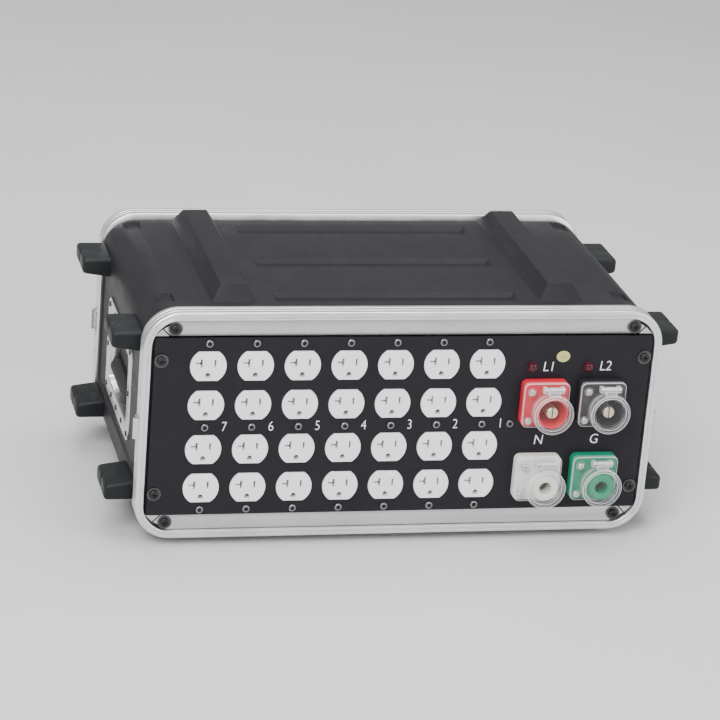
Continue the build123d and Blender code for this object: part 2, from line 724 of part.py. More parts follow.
# ---------------------------------------------------------------- pilot lamps and round sticker
with BuildPart() as lamp_lens:
    with BuildSketch(front_plane(0)):
        Circle(5.2)
    extrude(amount=1.2)
    with BuildSketch(front_plane(-1.2)):
        Circle(4.3)
    extrude(amount=3.8)
    fillet(lamp_lens.faces().sort_by(Axis.Y)[0].edges(), 1.6)
save_group(placed(lamp_lens.part, lamp_places), "lamp_lenses")

with BuildPart() as lamp_body:
    with BuildSketch(front_plane(0)):
        Circle(LAMP_R)
    extrude(amount=-20)
    with BuildSketch(front_plane(PANEL_T)):
        RegularPolygon(7, 6)
    extrude(amount=-3)
save_group(placed(lamp_body.part, lamp_places), "lamp_bodies")

with BuildPart() as round_sticker:
    with BuildSketch(front_plane(0)):
        with Locations((152.1, 68.0)):
            Ellipse(6.6, 5.6)
    extrude(amount=0.25)
save(round_sticker, "round_sticker")

# ---------------------------------------------------------------- rear panel and breakers
PANEL_IN = CASE_DEPTH - REAR_PANEL_SETBACK - PANEL_T    # inner face of the rear panel
PANEL_OUT = CASE_DEPTH - REAR_PANEL_SETBACK
NOSE_H = 45.0
NOSE_PROUD = 4.0
BRANCH_X = [-77.0 + BREAKER_W * circuit for circuit in range(BREAKER_COUNT)]
MAIN_X, MAIN_W = 68.0, 36.0
TOGGLE_Y = PANEL_OUT - 1.5
TOGGLE_R = 6.0
TOGGLE_TILT = 25.0
SLOT_HALF = 13.0
STUB_R = 1.5

with BuildPart() as rear_panel:
    with BuildSketch(front_plane(PANEL_OUT)):
        RectangleRounded(REAR_PANEL_W, PANEL_H, 6)
        with Locations((BRANCH_X[3], 0)):
            Rectangle(BREAKER_COUNT * BREAKER_W, NOSE_H + 0.4, mode=Mode.SUBTRACT)
        with Locations((MAIN_X, 0)):
            Rectangle(MAIN_W, NOSE_H + 0.4, mode=Mode.SUBTRACT)
        with Locations(*REAR_HOLES):
            Circle(SCREW_R, mode=Mode.SUBTRACT)
    extrude(amount=PANEL_T)
save(rear_panel, "rear_panel")


def breaker_body(width, toggle_w):
    """A rail-mounted breaker whose nose stands out through the rear panel's window."""
    with BuildPart() as body:
        with BuildSketch(front_plane(PANEL_IN)):
            Rectangle(width - 0.2, BREAKER_H)
        extrude(amount=BREAKER_D)
        with BuildSketch(front_plane(PANEL_IN)):
            Rectangle(width - 0.2, NOSE_H)
        extrude(amount=-(PANEL_T + NOSE_PROUD))
        with BuildSketch(front_plane(PANEL_OUT + NOSE_PROUD)):
            Rectangle(toggle_w + 0.8, 2 * SLOT_HALF)
        extrude(amount=NOSE_PROUD + 9, mode=Mode.SUBTRACT)
        with BuildSketch(side_plane(-toggle_w / 2 - 2)):
            with Locations((TOGGLE_Y, 0)):
                Circle(STUB_R + RUNNING_GAP)
        extrude(amount=toggle_w + 4, mode=Mode.SUBTRACT)
    return body.part


def breaker_toggle(toggle_w):
    """A rocking lever on two pivot stubs, up when the breaker is on."""
    lever_plane = Plane(
        origin=(-toggle_w / 2, FRONT_Y + TOGGLE_Y, MID_Z),
        x_dir=(0, 1, 0),
        z_dir=(1, 0, 0),
    ).rotated((TOGGLE_TILT, 0, 0))
    with BuildPart() as toggle:
        with BuildSketch(side_plane(-toggle_w / 2)):
            with Locations((TOGGLE_Y, 0)):
                Circle(TOGGLE_R)
        extrude(amount=toggle_w)
        with BuildSketch(lever_plane):
            with Locations((5.7, 0)):
                Rectangle(11.4, 4.6)
        extrude(amount=toggle_w)
        with BuildSketch(side_plane(-toggle_w / 2 - 1.6)):
            with Locations((TOGGLE_Y, 0)):
                Circle(STUB_R)
        extrude(amount=toggle_w + 3.2)
    return toggle.part


branch_places = [(x, 0) for x in BRANCH_X]
save_group(placed(breaker_body(BREAKER_W, 9), branch_places), "branch_breakers")
save_group(placed(breaker_body(MAIN_W, 26), [(MAIN_X, 0)]), "main_breaker")
branch_toggle = breaker_toggle(9)
for number, place in enumerate(branch_places, start=1):
    save_group(placed(branch_toggle, [place]), f"branch_toggle_{number}")
save_group(placed(breaker_toggle(26), [(MAIN_X, 0)]), "main_toggle")

# hat rail behind the breakers, on two legs from the rear panel
RAIL_FRONT = PANEL_IN - BREAKER_D
RAIL_END = 98.0
with BuildPart() as din_rail:
    with BuildSketch(side_plane(-RAIL_END)):
        with BuildLine():
            Polyline(
                (RAIL_FRONT, 17.5),
                (RAIL_FRONT, 12.5),
                (RAIL_FRONT - 7.5, 12.5),
                (RAIL_FRONT - 7.5, -12.5),
                (RAIL_FRONT, -12.5),
                (RAIL_FRONT, -17.5),
                (RAIL_FRONT - 1, -17.5),
                (RAIL_FRONT - 1, -13.5),
                (RAIL_FRONT - 8.5, -13.5),
                (RAIL_FRONT - 8.5, 13.5),
                (RAIL_FRONT - 1, 13.5),
                (RAIL_FRONT - 1, 17.5),
                close=True,
            )
        make_face()
    extrude(amount=2 * RAIL_END)
    for side in (1, -1):
        with BuildSketch(Plane(origin=(0, FRONT_Y, MID_Z - 15))):
            with BuildLine():
                Polyline(
                    (side * RAIL_END, RAIL_FRONT - 8.5),
                    (side * (RAIL_END + 2), RAIL_FRONT - 8.5),
                    (side * (RAIL_END + 2), PANEL_IN - 2),
                    (side * (RAIL_END + 16), PANEL_IN - 2),
                    (side * (RAIL_END + 16), PANEL_IN),
                    (side * RAIL_END, PANEL_IN),
                    close=True,
                )
            make_face()
        extrude(amount=30)
save(din_rail, "din_rail")

# ---------------------------------------------------------------- bars and block on the case floor
FLOOR_Z = MID_Z - INSIDE_H / 2
BAR_LENGTH = 130.0


def terminal_bar(y, lift):
    """A brass bar with a row of screw terminals."""
    with BuildPart() as bar:
        with BuildSketch(Plane(origin=(-40, FRONT_Y + y, FLOOR_Z + lift))):
            Rectangle(BAR_LENGTH, 10)
        extrude(amount=11)
        with BuildSketch(Plane(origin=(-40, FRONT_Y + y, FLOOR_Z + lift + 11))):
            with GridLocations(13, 1, 9, 1):
                Circle(2.4)
        extrude(amount=-7, mode=Mode.SUBTRACT)
    return bar.part


NEUTRAL_BAR_Y, GROUND_BAR_Y = 110.0, 150.0
BAR_LIFT = 16.0
save_group([terminal_bar(NEUTRAL_BAR_Y, BAR_LIFT)], "neutral_bar")
save_group([terminal_bar(GROUND_BAR_Y, BAR_LIFT)], "ground_bar")

with BuildPart() as bar_supports:
    with BuildSketch(Plane(origin=(-40, FRONT_Y, FLOOR_Z))):
        with Locations(*[(x, y) for x in (-55, 55) for y in (NEUTRAL_BAR_Y, GROUND_BAR_Y)]):
            RectangleRounded(16, 16, 2)
    extrude(amount=BAR_LIFT)
save(bar_supports, "bar_supports")

with BuildPart() as distribution_block:
    with BuildSketch(Plane(origin=(120, FRONT_Y + 150, FLOOR_Z))):
        RectangleRounded(80, 66, 3)
    extrude(amount=30)
    with BuildSketch(Plane(origin=(120, FRONT_Y + 150, FLOOR_Z + 30))):
        with Locations((-20, 0), (20, 0)):
            Rectangle(26, 54)
    extrude(amount=12)
    with BuildSketch(Plane(origin=(120, FRONT_Y + 150, FLOOR_Z + 42))):
        with Locations(*[(x, y) for x in (-20, 20) for y in (-17, 0, 17)]):
            Circle(4)
    extrude(amount=-10, mode=Mode.SUBTRACT)
save(distribution_block, "distribution_block")

# ---------------------------------------------------------------- sprung side handles
PLATE_T = 1.5
DISH_T = 1.2
PLATE_X = RECESS_X + PLATE_T
PIVOT_X = 240.0
ROD_R = 2.5
ARM_Y = 52.0
ARM_T = 3.0
BAR_R = 4.0
GRIP_HALF = 49.0
GRIP_Z = HANDLE_PIVOT_Z - HANDLE_DROP

with BuildPart() as handle_dish:
    with BuildSketch(side_plane(RECESS_X)):
        with Locations((HANDLE_Y, 0)):
            RectangleRounded(*HANDLE_PLATE, 12)
    extrude(amount=PLATE_T)
    with BuildSketch(side_plane(PLATE_X)):
        with Locations((HANDLE_Y, 0)):
            RectangleRounded(DISH[0] + 2 * DISH_T, DISH[1] + 2 * DISH_T, 6)
    extrude(amount=-(DISH[2] + DISH_T))
    with BuildSketch(side_plane(PLATE_X)):
        with Locations((HANDLE_Y, 0)):
            RectangleRounded(DISH[0], DISH[1], 5)
    extrude(amount=-DISH[2], mode=Mode.SUBTRACT)

with BuildPart() as handle_rod:
    with BuildSketch(front_plane(HANDLE_Y - DISH[0] / 2)):
        with Locations((PIVOT_X, HANDLE_PIVOT_Z)):
            Circle(ROD_R)
    extrude(amount=-DISH[0])

with BuildPart() as handle_bail:
    for y in (HANDLE_Y - ARM_Y, HANDLE_Y + ARM_Y - ARM_T):
        with BuildSketch(front_plane(y)):
            with Locations((PIVOT_X, HANDLE_PIVOT_Z)):
                Circle(5.5)
            with Locations((PIVOT_X, GRIP_Z)):
                Circle(5.5)
            with Locations((PIVOT_X, (HANDLE_PIVOT_Z + GRIP_Z) / 2)):
                Rectangle(9, HANDLE_DROP)
            with Locations((PIVOT_X, HANDLE_PIVOT_Z)):
                Circle(ROD_R + RUNNING_GAP, mode=Mode.SUBTRACT)
        extrude(amount=-ARM_T)
    with BuildSketch(front_plane(HANDLE_Y - ARM_Y + ARM_T)):
        with Locations((PIVOT_X, GRIP_Z)):
            Circle(BAR_R)
    extrude(amount=-(2 * ARM_Y - 2 * ARM_T))

with BuildPart() as handle_grip:
    with BuildSketch(front_plane(HANDLE_Y - GRIP_HALF)):
        with Locations((PIVOT_X, GRIP_Z)):
            Circle(GRIP_R)
            Circle(BAR_R, mode=Mode.SUBTRACT)
    extrude(amount=-2 * GRIP_HALF)

for piece_name, right_piece in (
    ("handle_dish", handle_dish.part),
    ("handle_bail", handle_bail.part),
    ("handle_grip", handle_grip.part),
):
    save_group([right_piece], f"{piece_name}_right")
    save_group([mirror(right_piece, about=Plane.YZ)], f"{piece_name}_left")
save_group(both_sides([handle_rod.part]), "handle_rods")

rivet_rows = [(y, z) for y in (-66, -33, 0, 33, 66) for z in (-41.5, 41.5)]
with BuildPart() as plate_rivets:
    with BuildSketch(side_plane(PLATE_X)):
        with Locations((HANDLE_Y, 0)):
            with Locations(*rivet_rows, (-67, 0), (67, 0)):
                Circle(2.6)
    extrude(amount=1)
save_group(both_sides([plate_rivets.part]), "handle_rivets")
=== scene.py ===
import math

import bmesh
import bpy
from bpy.props import FloatProperty, FloatVectorProperty, IntProperty, PointerProperty
from mathutils import Matrix, Vector


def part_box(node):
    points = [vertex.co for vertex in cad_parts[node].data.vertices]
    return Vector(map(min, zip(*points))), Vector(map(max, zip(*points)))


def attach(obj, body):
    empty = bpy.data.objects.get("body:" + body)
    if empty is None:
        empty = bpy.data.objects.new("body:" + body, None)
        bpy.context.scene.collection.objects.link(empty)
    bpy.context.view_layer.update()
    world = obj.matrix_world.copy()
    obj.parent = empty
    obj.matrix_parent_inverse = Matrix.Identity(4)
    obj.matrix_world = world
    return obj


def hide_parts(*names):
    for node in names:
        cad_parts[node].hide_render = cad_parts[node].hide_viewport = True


bl_info = {
    "name": "Portable power distribution box",
    "version": (1, 0, 0),
    "blender": (4, 5, 0),
    "location": "View3D > Sidebar > Power Box",
    "description": "Builds the looks of a rack-cased power distribution box on its packed model",
    "category": "Object",
}

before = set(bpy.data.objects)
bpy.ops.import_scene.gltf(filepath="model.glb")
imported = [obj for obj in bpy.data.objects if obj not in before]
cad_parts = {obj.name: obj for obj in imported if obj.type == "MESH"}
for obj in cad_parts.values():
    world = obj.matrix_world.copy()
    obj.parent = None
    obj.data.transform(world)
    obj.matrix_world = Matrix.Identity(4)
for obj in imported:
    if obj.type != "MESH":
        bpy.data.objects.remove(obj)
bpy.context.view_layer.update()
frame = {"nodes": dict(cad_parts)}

MM = 0.001
RING_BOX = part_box("front_ring")
PANEL_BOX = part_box("front_panel")
FRONT = RING_BOX[0][1]
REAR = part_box("rear_ring")[1][1]
MID = (PANEL_BOX[0][2] + PANEL_BOX[1][2]) / 2
INLETS = {"l1": (0.141, 0.0176), "l2": (0.197, 0.0176), "n": (0.141, -0.0587), "g": (0.197, -0.0587)}
COLUMNS = [-0.0552 + (column - 3) * 0.04445 for column in range(7)]


# ------------------------------------------------------------------ places
def on_front(x=0.0, z=0.0, out=0.0):
    """Local x to the right, local y up and local z out of the front, from the panel's middle."""
    return Matrix.Translation((x, FRONT - out, MID + z)) @ Matrix.Rotation(math.radians(90), 4, "X")


def on_rear(x=0.0, z=0.0, out=0.0):
    """Local y up and local z out of the rear, measured from the rear rim."""
    turn = Matrix.Rotation(math.radians(180), 4, "Z") @ Matrix.Rotation(math.radians(90), 4, "X")
    return Matrix.Translation((x, REAR + out, MID + z)) @ turn


def on_side(side, x, y, z):
    """Local x along the depth, local y up and local z out of the left (-1) or right (1) wall."""
    turn = Matrix.Rotation(math.radians(90 * side), 4, "Z") @ Matrix.Rotation(math.radians(90), 4, "X")
    return Matrix.Translation((side * x, y, z)) @ turn


# ------------------------------------------------------------------ bmesh shapes
def rounded_loop(bm, width, height, radius, place, level, steps=8):
    """The edges of one rounded rectangle, at a level along the place's z."""
    made = bmesh.ops.create_grid(bm, x_segments=1, y_segments=1, size=0.5)
    verts = made["verts"]
    bmesh.ops.scale(bm, vec=(width, height, 1), verts=verts)
    bevelled = bmesh.ops.bevel(
        bm,
        geom=verts,
        offset=radius,
        offset_type="OFFSET",
        affect="VERTICES",
        segments=steps,
        profile=0.5,
        material=-1,
    )
    verts = bevelled["verts"]
    faces = {face for vert in verts for face in vert.link_faces}
    edges = list({edge for face in faces for edge in face.edges})
    bmesh.ops.delete(bm, geom=list(faces), context="FACES_ONLY")
    bmesh.ops.transform(bm, matrix=place @ Matrix.Translation((0, 0, level)), verts=verts)
    return edges


def round_loop(bm, radius, place, level, steps=40):
    """The edges of one circle, at a level along the place's z."""
    made = bmesh.ops.create_circle(bm, cap_ends=False, segments=steps, radius=radius)
    verts = made["verts"]
    edges = list({edge for vert in verts for edge in vert.link_edges})
    bmesh.ops.transform(bm, matrix=place @ Matrix.Translation((0, 0, level)), verts=verts)
    return edges


def skin(bm, loops, place, closed=False, start=True, end=True):
    """Bridges each loop to the next, then closes the ends or joins the last loop to the first.

    Two loops in one plane can bridge the wrong way round, so the second one stands off while it is bridged.
    """
    axis = place.to_3x3() @ Vector((0, 0, 1))
    pairs = list(zip(loops, loops[1:]))
    if closed:
        pairs.append((loops[-1], loops[0]))
    for first, second in pairs:
        near = first[0].verts[0].co.dot(axis)
        far = second[0].verts[0].co.dot(axis)
        away = axis * (0.3 if far >= near else -0.3)
        verts = list({vert for edge in second for vert in edge.verts})
        bmesh.ops.translate(bm, vec=away, verts=verts)
        bmesh.ops.bridge_loops(bm, edges=first + second)
        bmesh.ops.translate(bm, vec=-away, verts=verts)
    if closed:
        return
    if start:
        bmesh.ops.edgeloop_fill(bm, edges=loops[0])
    if end:
        bmesh.ops.edgeloop_fill(bm, edges=loops[-1])


def turned(bm, place, levels, steps=40, **ends):
    """A turned shape from (radius, level) pairs in millimetres."""
    loops = [round_loop(bm, radius * MM, place, level * MM, steps) for radius, level in levels]
    skin(bm, loops, place, **ends)


def moulded(bm, place, levels, steps=8, **ends):
    """A moulded shape from (width, height, corner radius, level) sections in millimetres."""
    loops = [
        rounded_loop(bm, width * MM, height * MM, radius * MM, place, level * MM, steps)
        for width, height, radius, level in levels
    ]
    skin(bm, loops, place, **ends)


def block(bm, place, size, edge, steps=2):
    """A rectangular block centred on the place, every edge rounded, sizes in millimetres."""
    made = bmesh.ops.create_cube(bm, size=1)
    verts = made["verts"]
    bmesh.ops.scale(bm, vec=Vector(size) * MM, verts=verts)
    bmesh.ops.transform(bm, matrix=place, verts=verts)
    edges = list({e for vert in verts for e in vert.link_edges})
    bmesh.ops.bevel(
        bm,
        geom=edges,
        offset=edge * MM,
        offset_type="OFFSET",
        affect="EDGES",
        segments=steps,
        profile=0.5,
        material=-1,
    )


def shift(x=0.0, y=0.0, z=0.0):
    """A move in millimetres."""
    return Matrix.Translation((x * MM, y * MM, z * MM))


def piece(name, bm, material, body="case", replaces=(), sharp=35, edges=None):
    """Turns a finished bmesh into a named piece that rides on a body."""
    bmesh.ops.remove_doubles(bm, verts=bm.verts, dist=1e-6)
    bmesh.ops.recalc_face_normals(bm, faces=bm.faces)
    if not bm.faces:
        raise RuntimeError(f"{name} has no faces")
    mesh = bpy.data.meshes.new(name)
    bm.to_mesh(mesh)
    bm.free()
    for polygon in mesh.polygons:
        polygon.use_smooth = True
    mesh.set_sharp_from_angle(angle=math.radians(sharp))
    made = bpy.data.objects.new(name, mesh)
    bpy.context.scene.collection.objects.link(made)
    made.data.materials.append(material)
    # A second material paints highlights: every face that slopes towards the front gets it, which shows as bright rims
    # on the clear lids and covers.
    if edges:
        made.data.materials.append(edges)
        for polygon in mesh.polygons:
            polygon.material_index = 0.2 < abs(polygon.normal.y) < 0.97
    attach(made, body)
    if replaces:
        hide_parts(*replaces)
    return made


# ------------------------------------------------------------------ finishes
def new_finish(name):
    """An empty material with its shader, and Object coordinates to drive it."""
    material = bpy.data.materials.new(name)
    material.use_nodes = True
    tree = material.node_tree
    shader = tree.nodes["Principled BSDF"]
    coords = tree.nodes.new("ShaderNodeTexCoord")
    return material, tree, shader, coords


def noise(tree, coords, scale, detail=3.0, stretch=(1, 1, 1), roughness=0.5):
    """Noise on Object coordinates, with its pattern stretched along the axes."""
    mapping = tree.nodes.new("ShaderNodeMapping")
    mapping.inputs["Scale"].default_value = stretch
    texture = tree.nodes.new("ShaderNodeTexNoise")
    texture.inputs["Scale"].default_value = scale
    texture.inputs["Detail"].default_value = detail
    texture.inputs["Roughness"].default_value = roughness
    tree.links.new(coords.outputs["Object"], mapping.inputs["Vector"])
    tree.links.new(mapping.outputs["Vector"], texture.inputs["Vector"])
    return texture.outputs["Fac"]


def pebble(tree, coords, scale):
    """The raised cells of a moulded grain."""
    texture = tree.nodes.new("ShaderNodeTexVoronoi")
    texture.feature = "SMOOTH_F1"
    texture.inputs["Scale"].default_value = scale
    texture.inputs["Smoothness"].default_value = 0.6
    tree.links.new(coords.outputs["Object"], texture.inputs["Vector"])
    return texture.outputs["Distance"]


def ranged(tree, value, low, high, start=0.3, end=0.7):
    """A value mapped from start..end to low..high."""
    node = tree.nodes.new("ShaderNodeMapRange")
    node.inputs["From Min"].default_value = start
    node.inputs["From Max"].default_value = end
    node.inputs["To Min"].default_value = low
    node.inputs["To Max"].default_value = high
    tree.links.new(value, node.inputs["Value"])
    return node.outputs["Result"]


def tinted(tree, value, dark, light, start=0.3, end=0.7):
    """A colour ramp between two colours."""
    ramp = tree.nodes.new("ShaderNodeValToRGB")
    ramp.color_ramp.elements[0].position = start
    ramp.color_ramp.elements[0].color = (*dark, 1)
    ramp.color_ramp.elements[1].position = end
    ramp.color_ramp.elements[1].color = (*light, 1)
    tree.links.new(value, ramp.inputs["Fac"])
    return ramp.outputs["Color"]


def bumped(tree, shader, heights):
    """Chains (height, depth in metres, strength) bumps into the shader's normal."""
    previous = None
    for height, depth, strength in heights:
        node = tree.nodes.new("ShaderNodeBump")
        node.inputs["Distance"].default_value = depth
        node.inputs["Strength"].default_value = strength
        tree.links.new(height, node.inputs["Height"])
        if previous:
            tree.links.new(previous, node.inputs["Normal"])
        previous = node.outputs["Normal"]
    tree.links.new(previous, shader.inputs["Normal"])


def shade(colour, factor):
    """A colour made lighter or darker."""
    return tuple(min(1.0, channel * factor) for channel in colour[:3])


def plastic_finish(
    name, colour, roughness=0.45, grain=1100, depth=0.00012, spread=0.12, scuffs=0.12, shine=0.4
):
    """Moulded plastic: a fine grain, slow colour drift, and scuffed patches that lose their gloss."""
    material, tree, shader, coords = new_finish(name)
    drift = noise(tree, coords, 22, 4)
    link = tree.links.new
    link(tinted(tree, drift, shade(colour, 1 - spread), shade(colour, 1 + spread)), shader.inputs["Base Color"])
    scuff = noise(tree, coords, 60, 6, (1, 0.35, 1), 0.65)
    link(ranged(tree, scuff, roughness - scuffs / 2, roughness + scuffs), shader.inputs["Roughness"])
    fine = pebble(tree, coords, grain)
    waves = noise(tree, coords, 35, 2)
    bumped(tree, shader, [(fine, depth, 0.5), (waves, 0.0006, 0.12)])
    shader.inputs["Specular IOR Level"].default_value = shine
    return material


def metal_finish(name, colour, roughness=0.3, stretch=(1, 1, 1), lines=900, depth=0.00004, metallic=1.0):
    """Drawn, brushed or plated metal, with its lines stretched along the axes given."""
    material, tree, shader, coords = new_finish(name)
    link = tree.links.new
    brush = noise(tree, coords, lines, 5, stretch, 0.6)
    cloud = noise(tree, coords, 26, 3)
    link(tinted(tree, cloud, shade(colour, 0.93), shade(colour, 1.04)), shader.inputs["Base Color"])
    link(ranged(tree, brush, roughness - 0.07, roughness + 0.12), shader.inputs["Roughness"])
    shader.inputs["Metallic"].default_value = metallic
    bumped(tree, shader, [(brush, depth, 0.35)])
    return material


def paint_finish(name, colour, roughness=0.42, grain=700):
    """Powder coat: a fine orange-peel texture with a little dust."""
    material, tree, shader, coords = new_finish(name)
    link = tree.links.new
    dust = noise(tree, coords, 40, 6, roughness=0.7)
    link(tinted(tree, dust, shade(colour, 0.9), shade(colour, 1.25), 0.35, 0.8), shader.inputs["Base Color"])
    link(ranged(tree, dust, roughness - 0.04, roughness + 0.1), shader.inputs["Roughness"])
    shader.inputs["Specular IOR Level"].default_value = 0.22
    bumped(tree, shader, [(noise(tree, coords, grain, 3), 0.0001, 0.5)])
    return material


def clear_finish(name, tint, facing=0.035, edge=0.55, roughness=0.07):
    """Clear moulded plastic: see-through face on, with fine scratches, its pale tint showing more towards its edges as
    a painted reflection.
    """
    material, tree, shader, coords = new_finish(name)
    link = tree.links.new
    flow = noise(tree, coords, 90, 3, (1, 1, 0.4))
    scratch = noise(tree, coords, 700, 4, (1, 0.15, 1))
    link(tinted(tree, flow, shade(tint, 0.9), tint), shader.inputs["Base Color"])
    link(ranged(tree, scratch, roughness, roughness + 0.12), shader.inputs["Roughness"])
    # Opacity rises towards grazing angles so the pale tint shows there: a painted reflection.
    rim = tree.nodes.new("ShaderNodeLayerWeight")
    rim.inputs["Blend"].default_value = 0.35
    link(ranged(tree, rim.outputs["Facing"], facing, edge, 0.1, 0.9), shader.inputs["Alpha"])
    shader.inputs["Specular IOR Level"].default_value = 0.9
    bumped(tree, shader, [(flow, 0.0003, 0.3)])
    return material


FINISHES = {}


def finish(name):
    """A finish that the materials operator has made."""
    if name not in FINISHES:
        raise RuntimeError(f"the finish {name} isn't made yet")
    return FINISHES[name]


# ------------------------------------------------------------------ settings
def colour_setting(name, words, default):
    return FloatVectorProperty(
        name=name, description=words, subtype="COLOR", size=3, min=0, max=1, default=default
    )


class PowerBoxColours(bpy.types.PropertyGroup):
    """Colours that a user would change."""
    case: colour_setting("Case", "Moulded case shell", (0.0135, 0.0128, 0.0158))
    bumper: colour_setting("Bumpers", "Side bumpers", (0.0085, 0.0105, 0.0115))
    panel: colour_setting("Panel", "Powder-coated panels", (0.0095, 0.0085, 0.012))
    frame: colour_setting("End rings", "Satin aluminium rings", (0.80, 0.80, 0.815))
    outlet: colour_setting("Outlets", "Outlet faces", (0.86, 0.86, 0.88))
    line_one: colour_setting("L1", "First hot inlet", (0.62, 0.016, 0.036))
    line_two: colour_setting("L2", "Second hot inlet", (0.018, 0.018, 0.022))
    neutral: colour_setting("Neutral", "Neutral inlet", (0.74, 0.73, 0.70))
    ground: colour_setting("Ground", "Ground inlet", (0.010, 0.235, 0.125))


class PowerBoxSizes(bpy.types.PropertyGroup):
    """Sizes of the softened edges and the lettering."""
    edge: FloatProperty(
        name="Edge softness",
        description="Width of the rounded edge on moulded pieces",
        default=0.0012,
        min=0.0,
        unit="LENGTH",
    )
    digit: FloatProperty(
        name="Number height",
        description="Height of the column numbers on the panel",
        default=0.0098,
        min=0.001,
        unit="LENGTH",
    )
    letter: FloatProperty(
        name="Letter height",
        description="Height of the letters over the inlets",
        default=0.0098,
        min=0.001,
        unit="LENGTH",
    )
    circle_steps: IntProperty(
        name="Circle steps", description="Edges round a turned piece", default=48, min=12, max=96
    )


def colours():
    return bpy.context.scene.power_box_colours


def sizes():
    return bpy.context.scene.power_box_sizes


def paint_node(node, material, soften=None):
    """Gives a carried-over CAD node its finish, with softened edges where a width is given."""
    target = frame["nodes"][node]
    target.data.materials.clear()
    target.data.materials.append(material)
    if soften:
        weld = target.modifiers.new("Weld", "WELD")
        weld.merge_threshold = 2e-5
        bevel = target.modifiers.new("Bevel", "BEVEL")
        bevel.width = soften
        bevel.segments = 2
        bevel.limit_method = "ANGLE"
        bevel.angle_limit = math.radians(32)
        bevel.harden_normals = False
        smooth = target.modifiers.new("Normals", "WEIGHTED_NORMAL")
        smooth.keep_sharp = True


# ------------------------------------------------------------------ operators
class POWERBOX_OT_finishes(bpy.types.Operator):
    """Makes every procedural finish"""
    bl_idname = "powerbox.finishes"
    bl_label = "Finishes"

    def execute(self, context):
        tone = colours()
        made = {
            "case": plastic_finish("case_plastic_grain", tone.case, 0.5, 850, 0.00012, 0.1, 0.06, 0.2),
            "bumper": plastic_finish("bumper_plastic_grain", tone.bumper, 0.46, 1400, 0.00008, 0.1, 0.1, 0.26),
            "panel": paint_finish("panel_powder_coat", tone.panel),
            "ring": metal_finish("ring_satin_aluminium", tone.frame, 0.36, (0.05, 1, 0.05), 900),
            "strip": metal_finish("strip_brushed_aluminium", (0.60, 0.60, 0.61), 0.38, (0.02, 1, 1), 1600),
            "outlet": plastic_finish("outlet_white_nylon", tone.outlet, 0.3, 2500, 0.00002, 0.03, 0.06),
            # Dark plastic made near-black as painted shade, seen through the outlet holes.
            "outlet_back": plastic_finish("outlet_back_plastic_painted_shade", (0.02, 0.02, 0.021), 0.5),
            "brass": metal_finish("contact_brass_plate", (0.72, 0.66, 0.46), 0.34, metallic=0.75),
            # Brass darkened as painted shade for the contacts inside the outlet holes; the sticker line is drawn in it
            # too.
            "contact": metal_finish("contact_brass_painted_shade_and_sticker_line", (0.16, 0.13, 0.08), 0.45, metallic=0.7),
            "washer": metal_finish("washer_gunmetal_plate", (0.10, 0.10, 0.103), 0.32),
            "zinc": metal_finish("zinc_plate", (0.62, 0.62, 0.60), 0.34),
            "nickel": metal_finish("screw_nickel_plate", (0.68, 0.67, 0.66), 0.26),
            "dark_screw": metal_finish("gunmetal_screw", (0.28, 0.28, 0.29), 0.3),
            # Real black oxide on the black screws; in the yoke screw recesses it is painted shade.
            "black_screw": metal_finish("black_oxide_steel_and_recess_painted_shade", (0.03, 0.03, 0.032), 0.36, metallic=0.7),
            "l1": plastic_finish("inlet_red_plastic", tone.line_one, 0.32, 1800, 0.00004, 0.08, 0.08),
            "l2": plastic_finish("inlet_black_plastic", tone.line_two, 0.32, 1800, 0.00004, 0.1, 0.08),
            "n": plastic_finish("inlet_white_plastic", tone.neutral, 0.34, 1800, 0.00004, 0.04, 0.08),
            "g": plastic_finish("inlet_green_plastic", tone.ground, 0.32, 1800, 0.00004, 0.08, 0.08),
            # Both clear finishes whiten towards grazing angles as a painted reflection.
            "clear": clear_finish("lid_clear_polycarbonate", (0.90, 0.89, 0.91), 0.02, 0.34),
            # A whiter, more opaque clear finish for the sloped faces: painted highlights that show as bright rims.
            "clear_highlight_edge": clear_finish("clear_plastic_painted_highlight_edges", (0.95, 0.94, 0.96), 0.5, 0.9, 0.12),
            "lamp": plastic_finish("lamp_dark_red_lens", (0.055, 0.002, 0.010), 0.14, 500, 0.00006, 0.2, 0.04),
            "sticker": plastic_finish("sticker_satin_film", (0.50, 0.48, 0.18), 0.4, 3000, 0.00001, 0.1, 0.05),
            "breaker": plastic_finish("breaker_black_plastic", (0.024, 0.024, 0.026), 0.45),
            "toggle": plastic_finish("toggle_black_nylon", (0.04, 0.04, 0.043), 0.3, 2200, 0.00003),
            "plate": metal_finish("handle_plate_nickel", (0.66, 0.66, 0.67), 0.3, (1, 0.3, 1), 500),
            "grip": plastic_finish("grip_black_rubber", (0.022, 0.022, 0.023), 0.62, 1000, 0.0002),
            "block": plastic_finish("wiring_block_plastic", (0.09, 0.09, 0.095), 0.5),
            "ink": plastic_finish("white_silk_screen_ink", (0.82, 0.82, 0.84), 0.5, 2600, 0.00001, 0.03),
        }
        FINISHES.update(made)
        return {"FINISHED"}


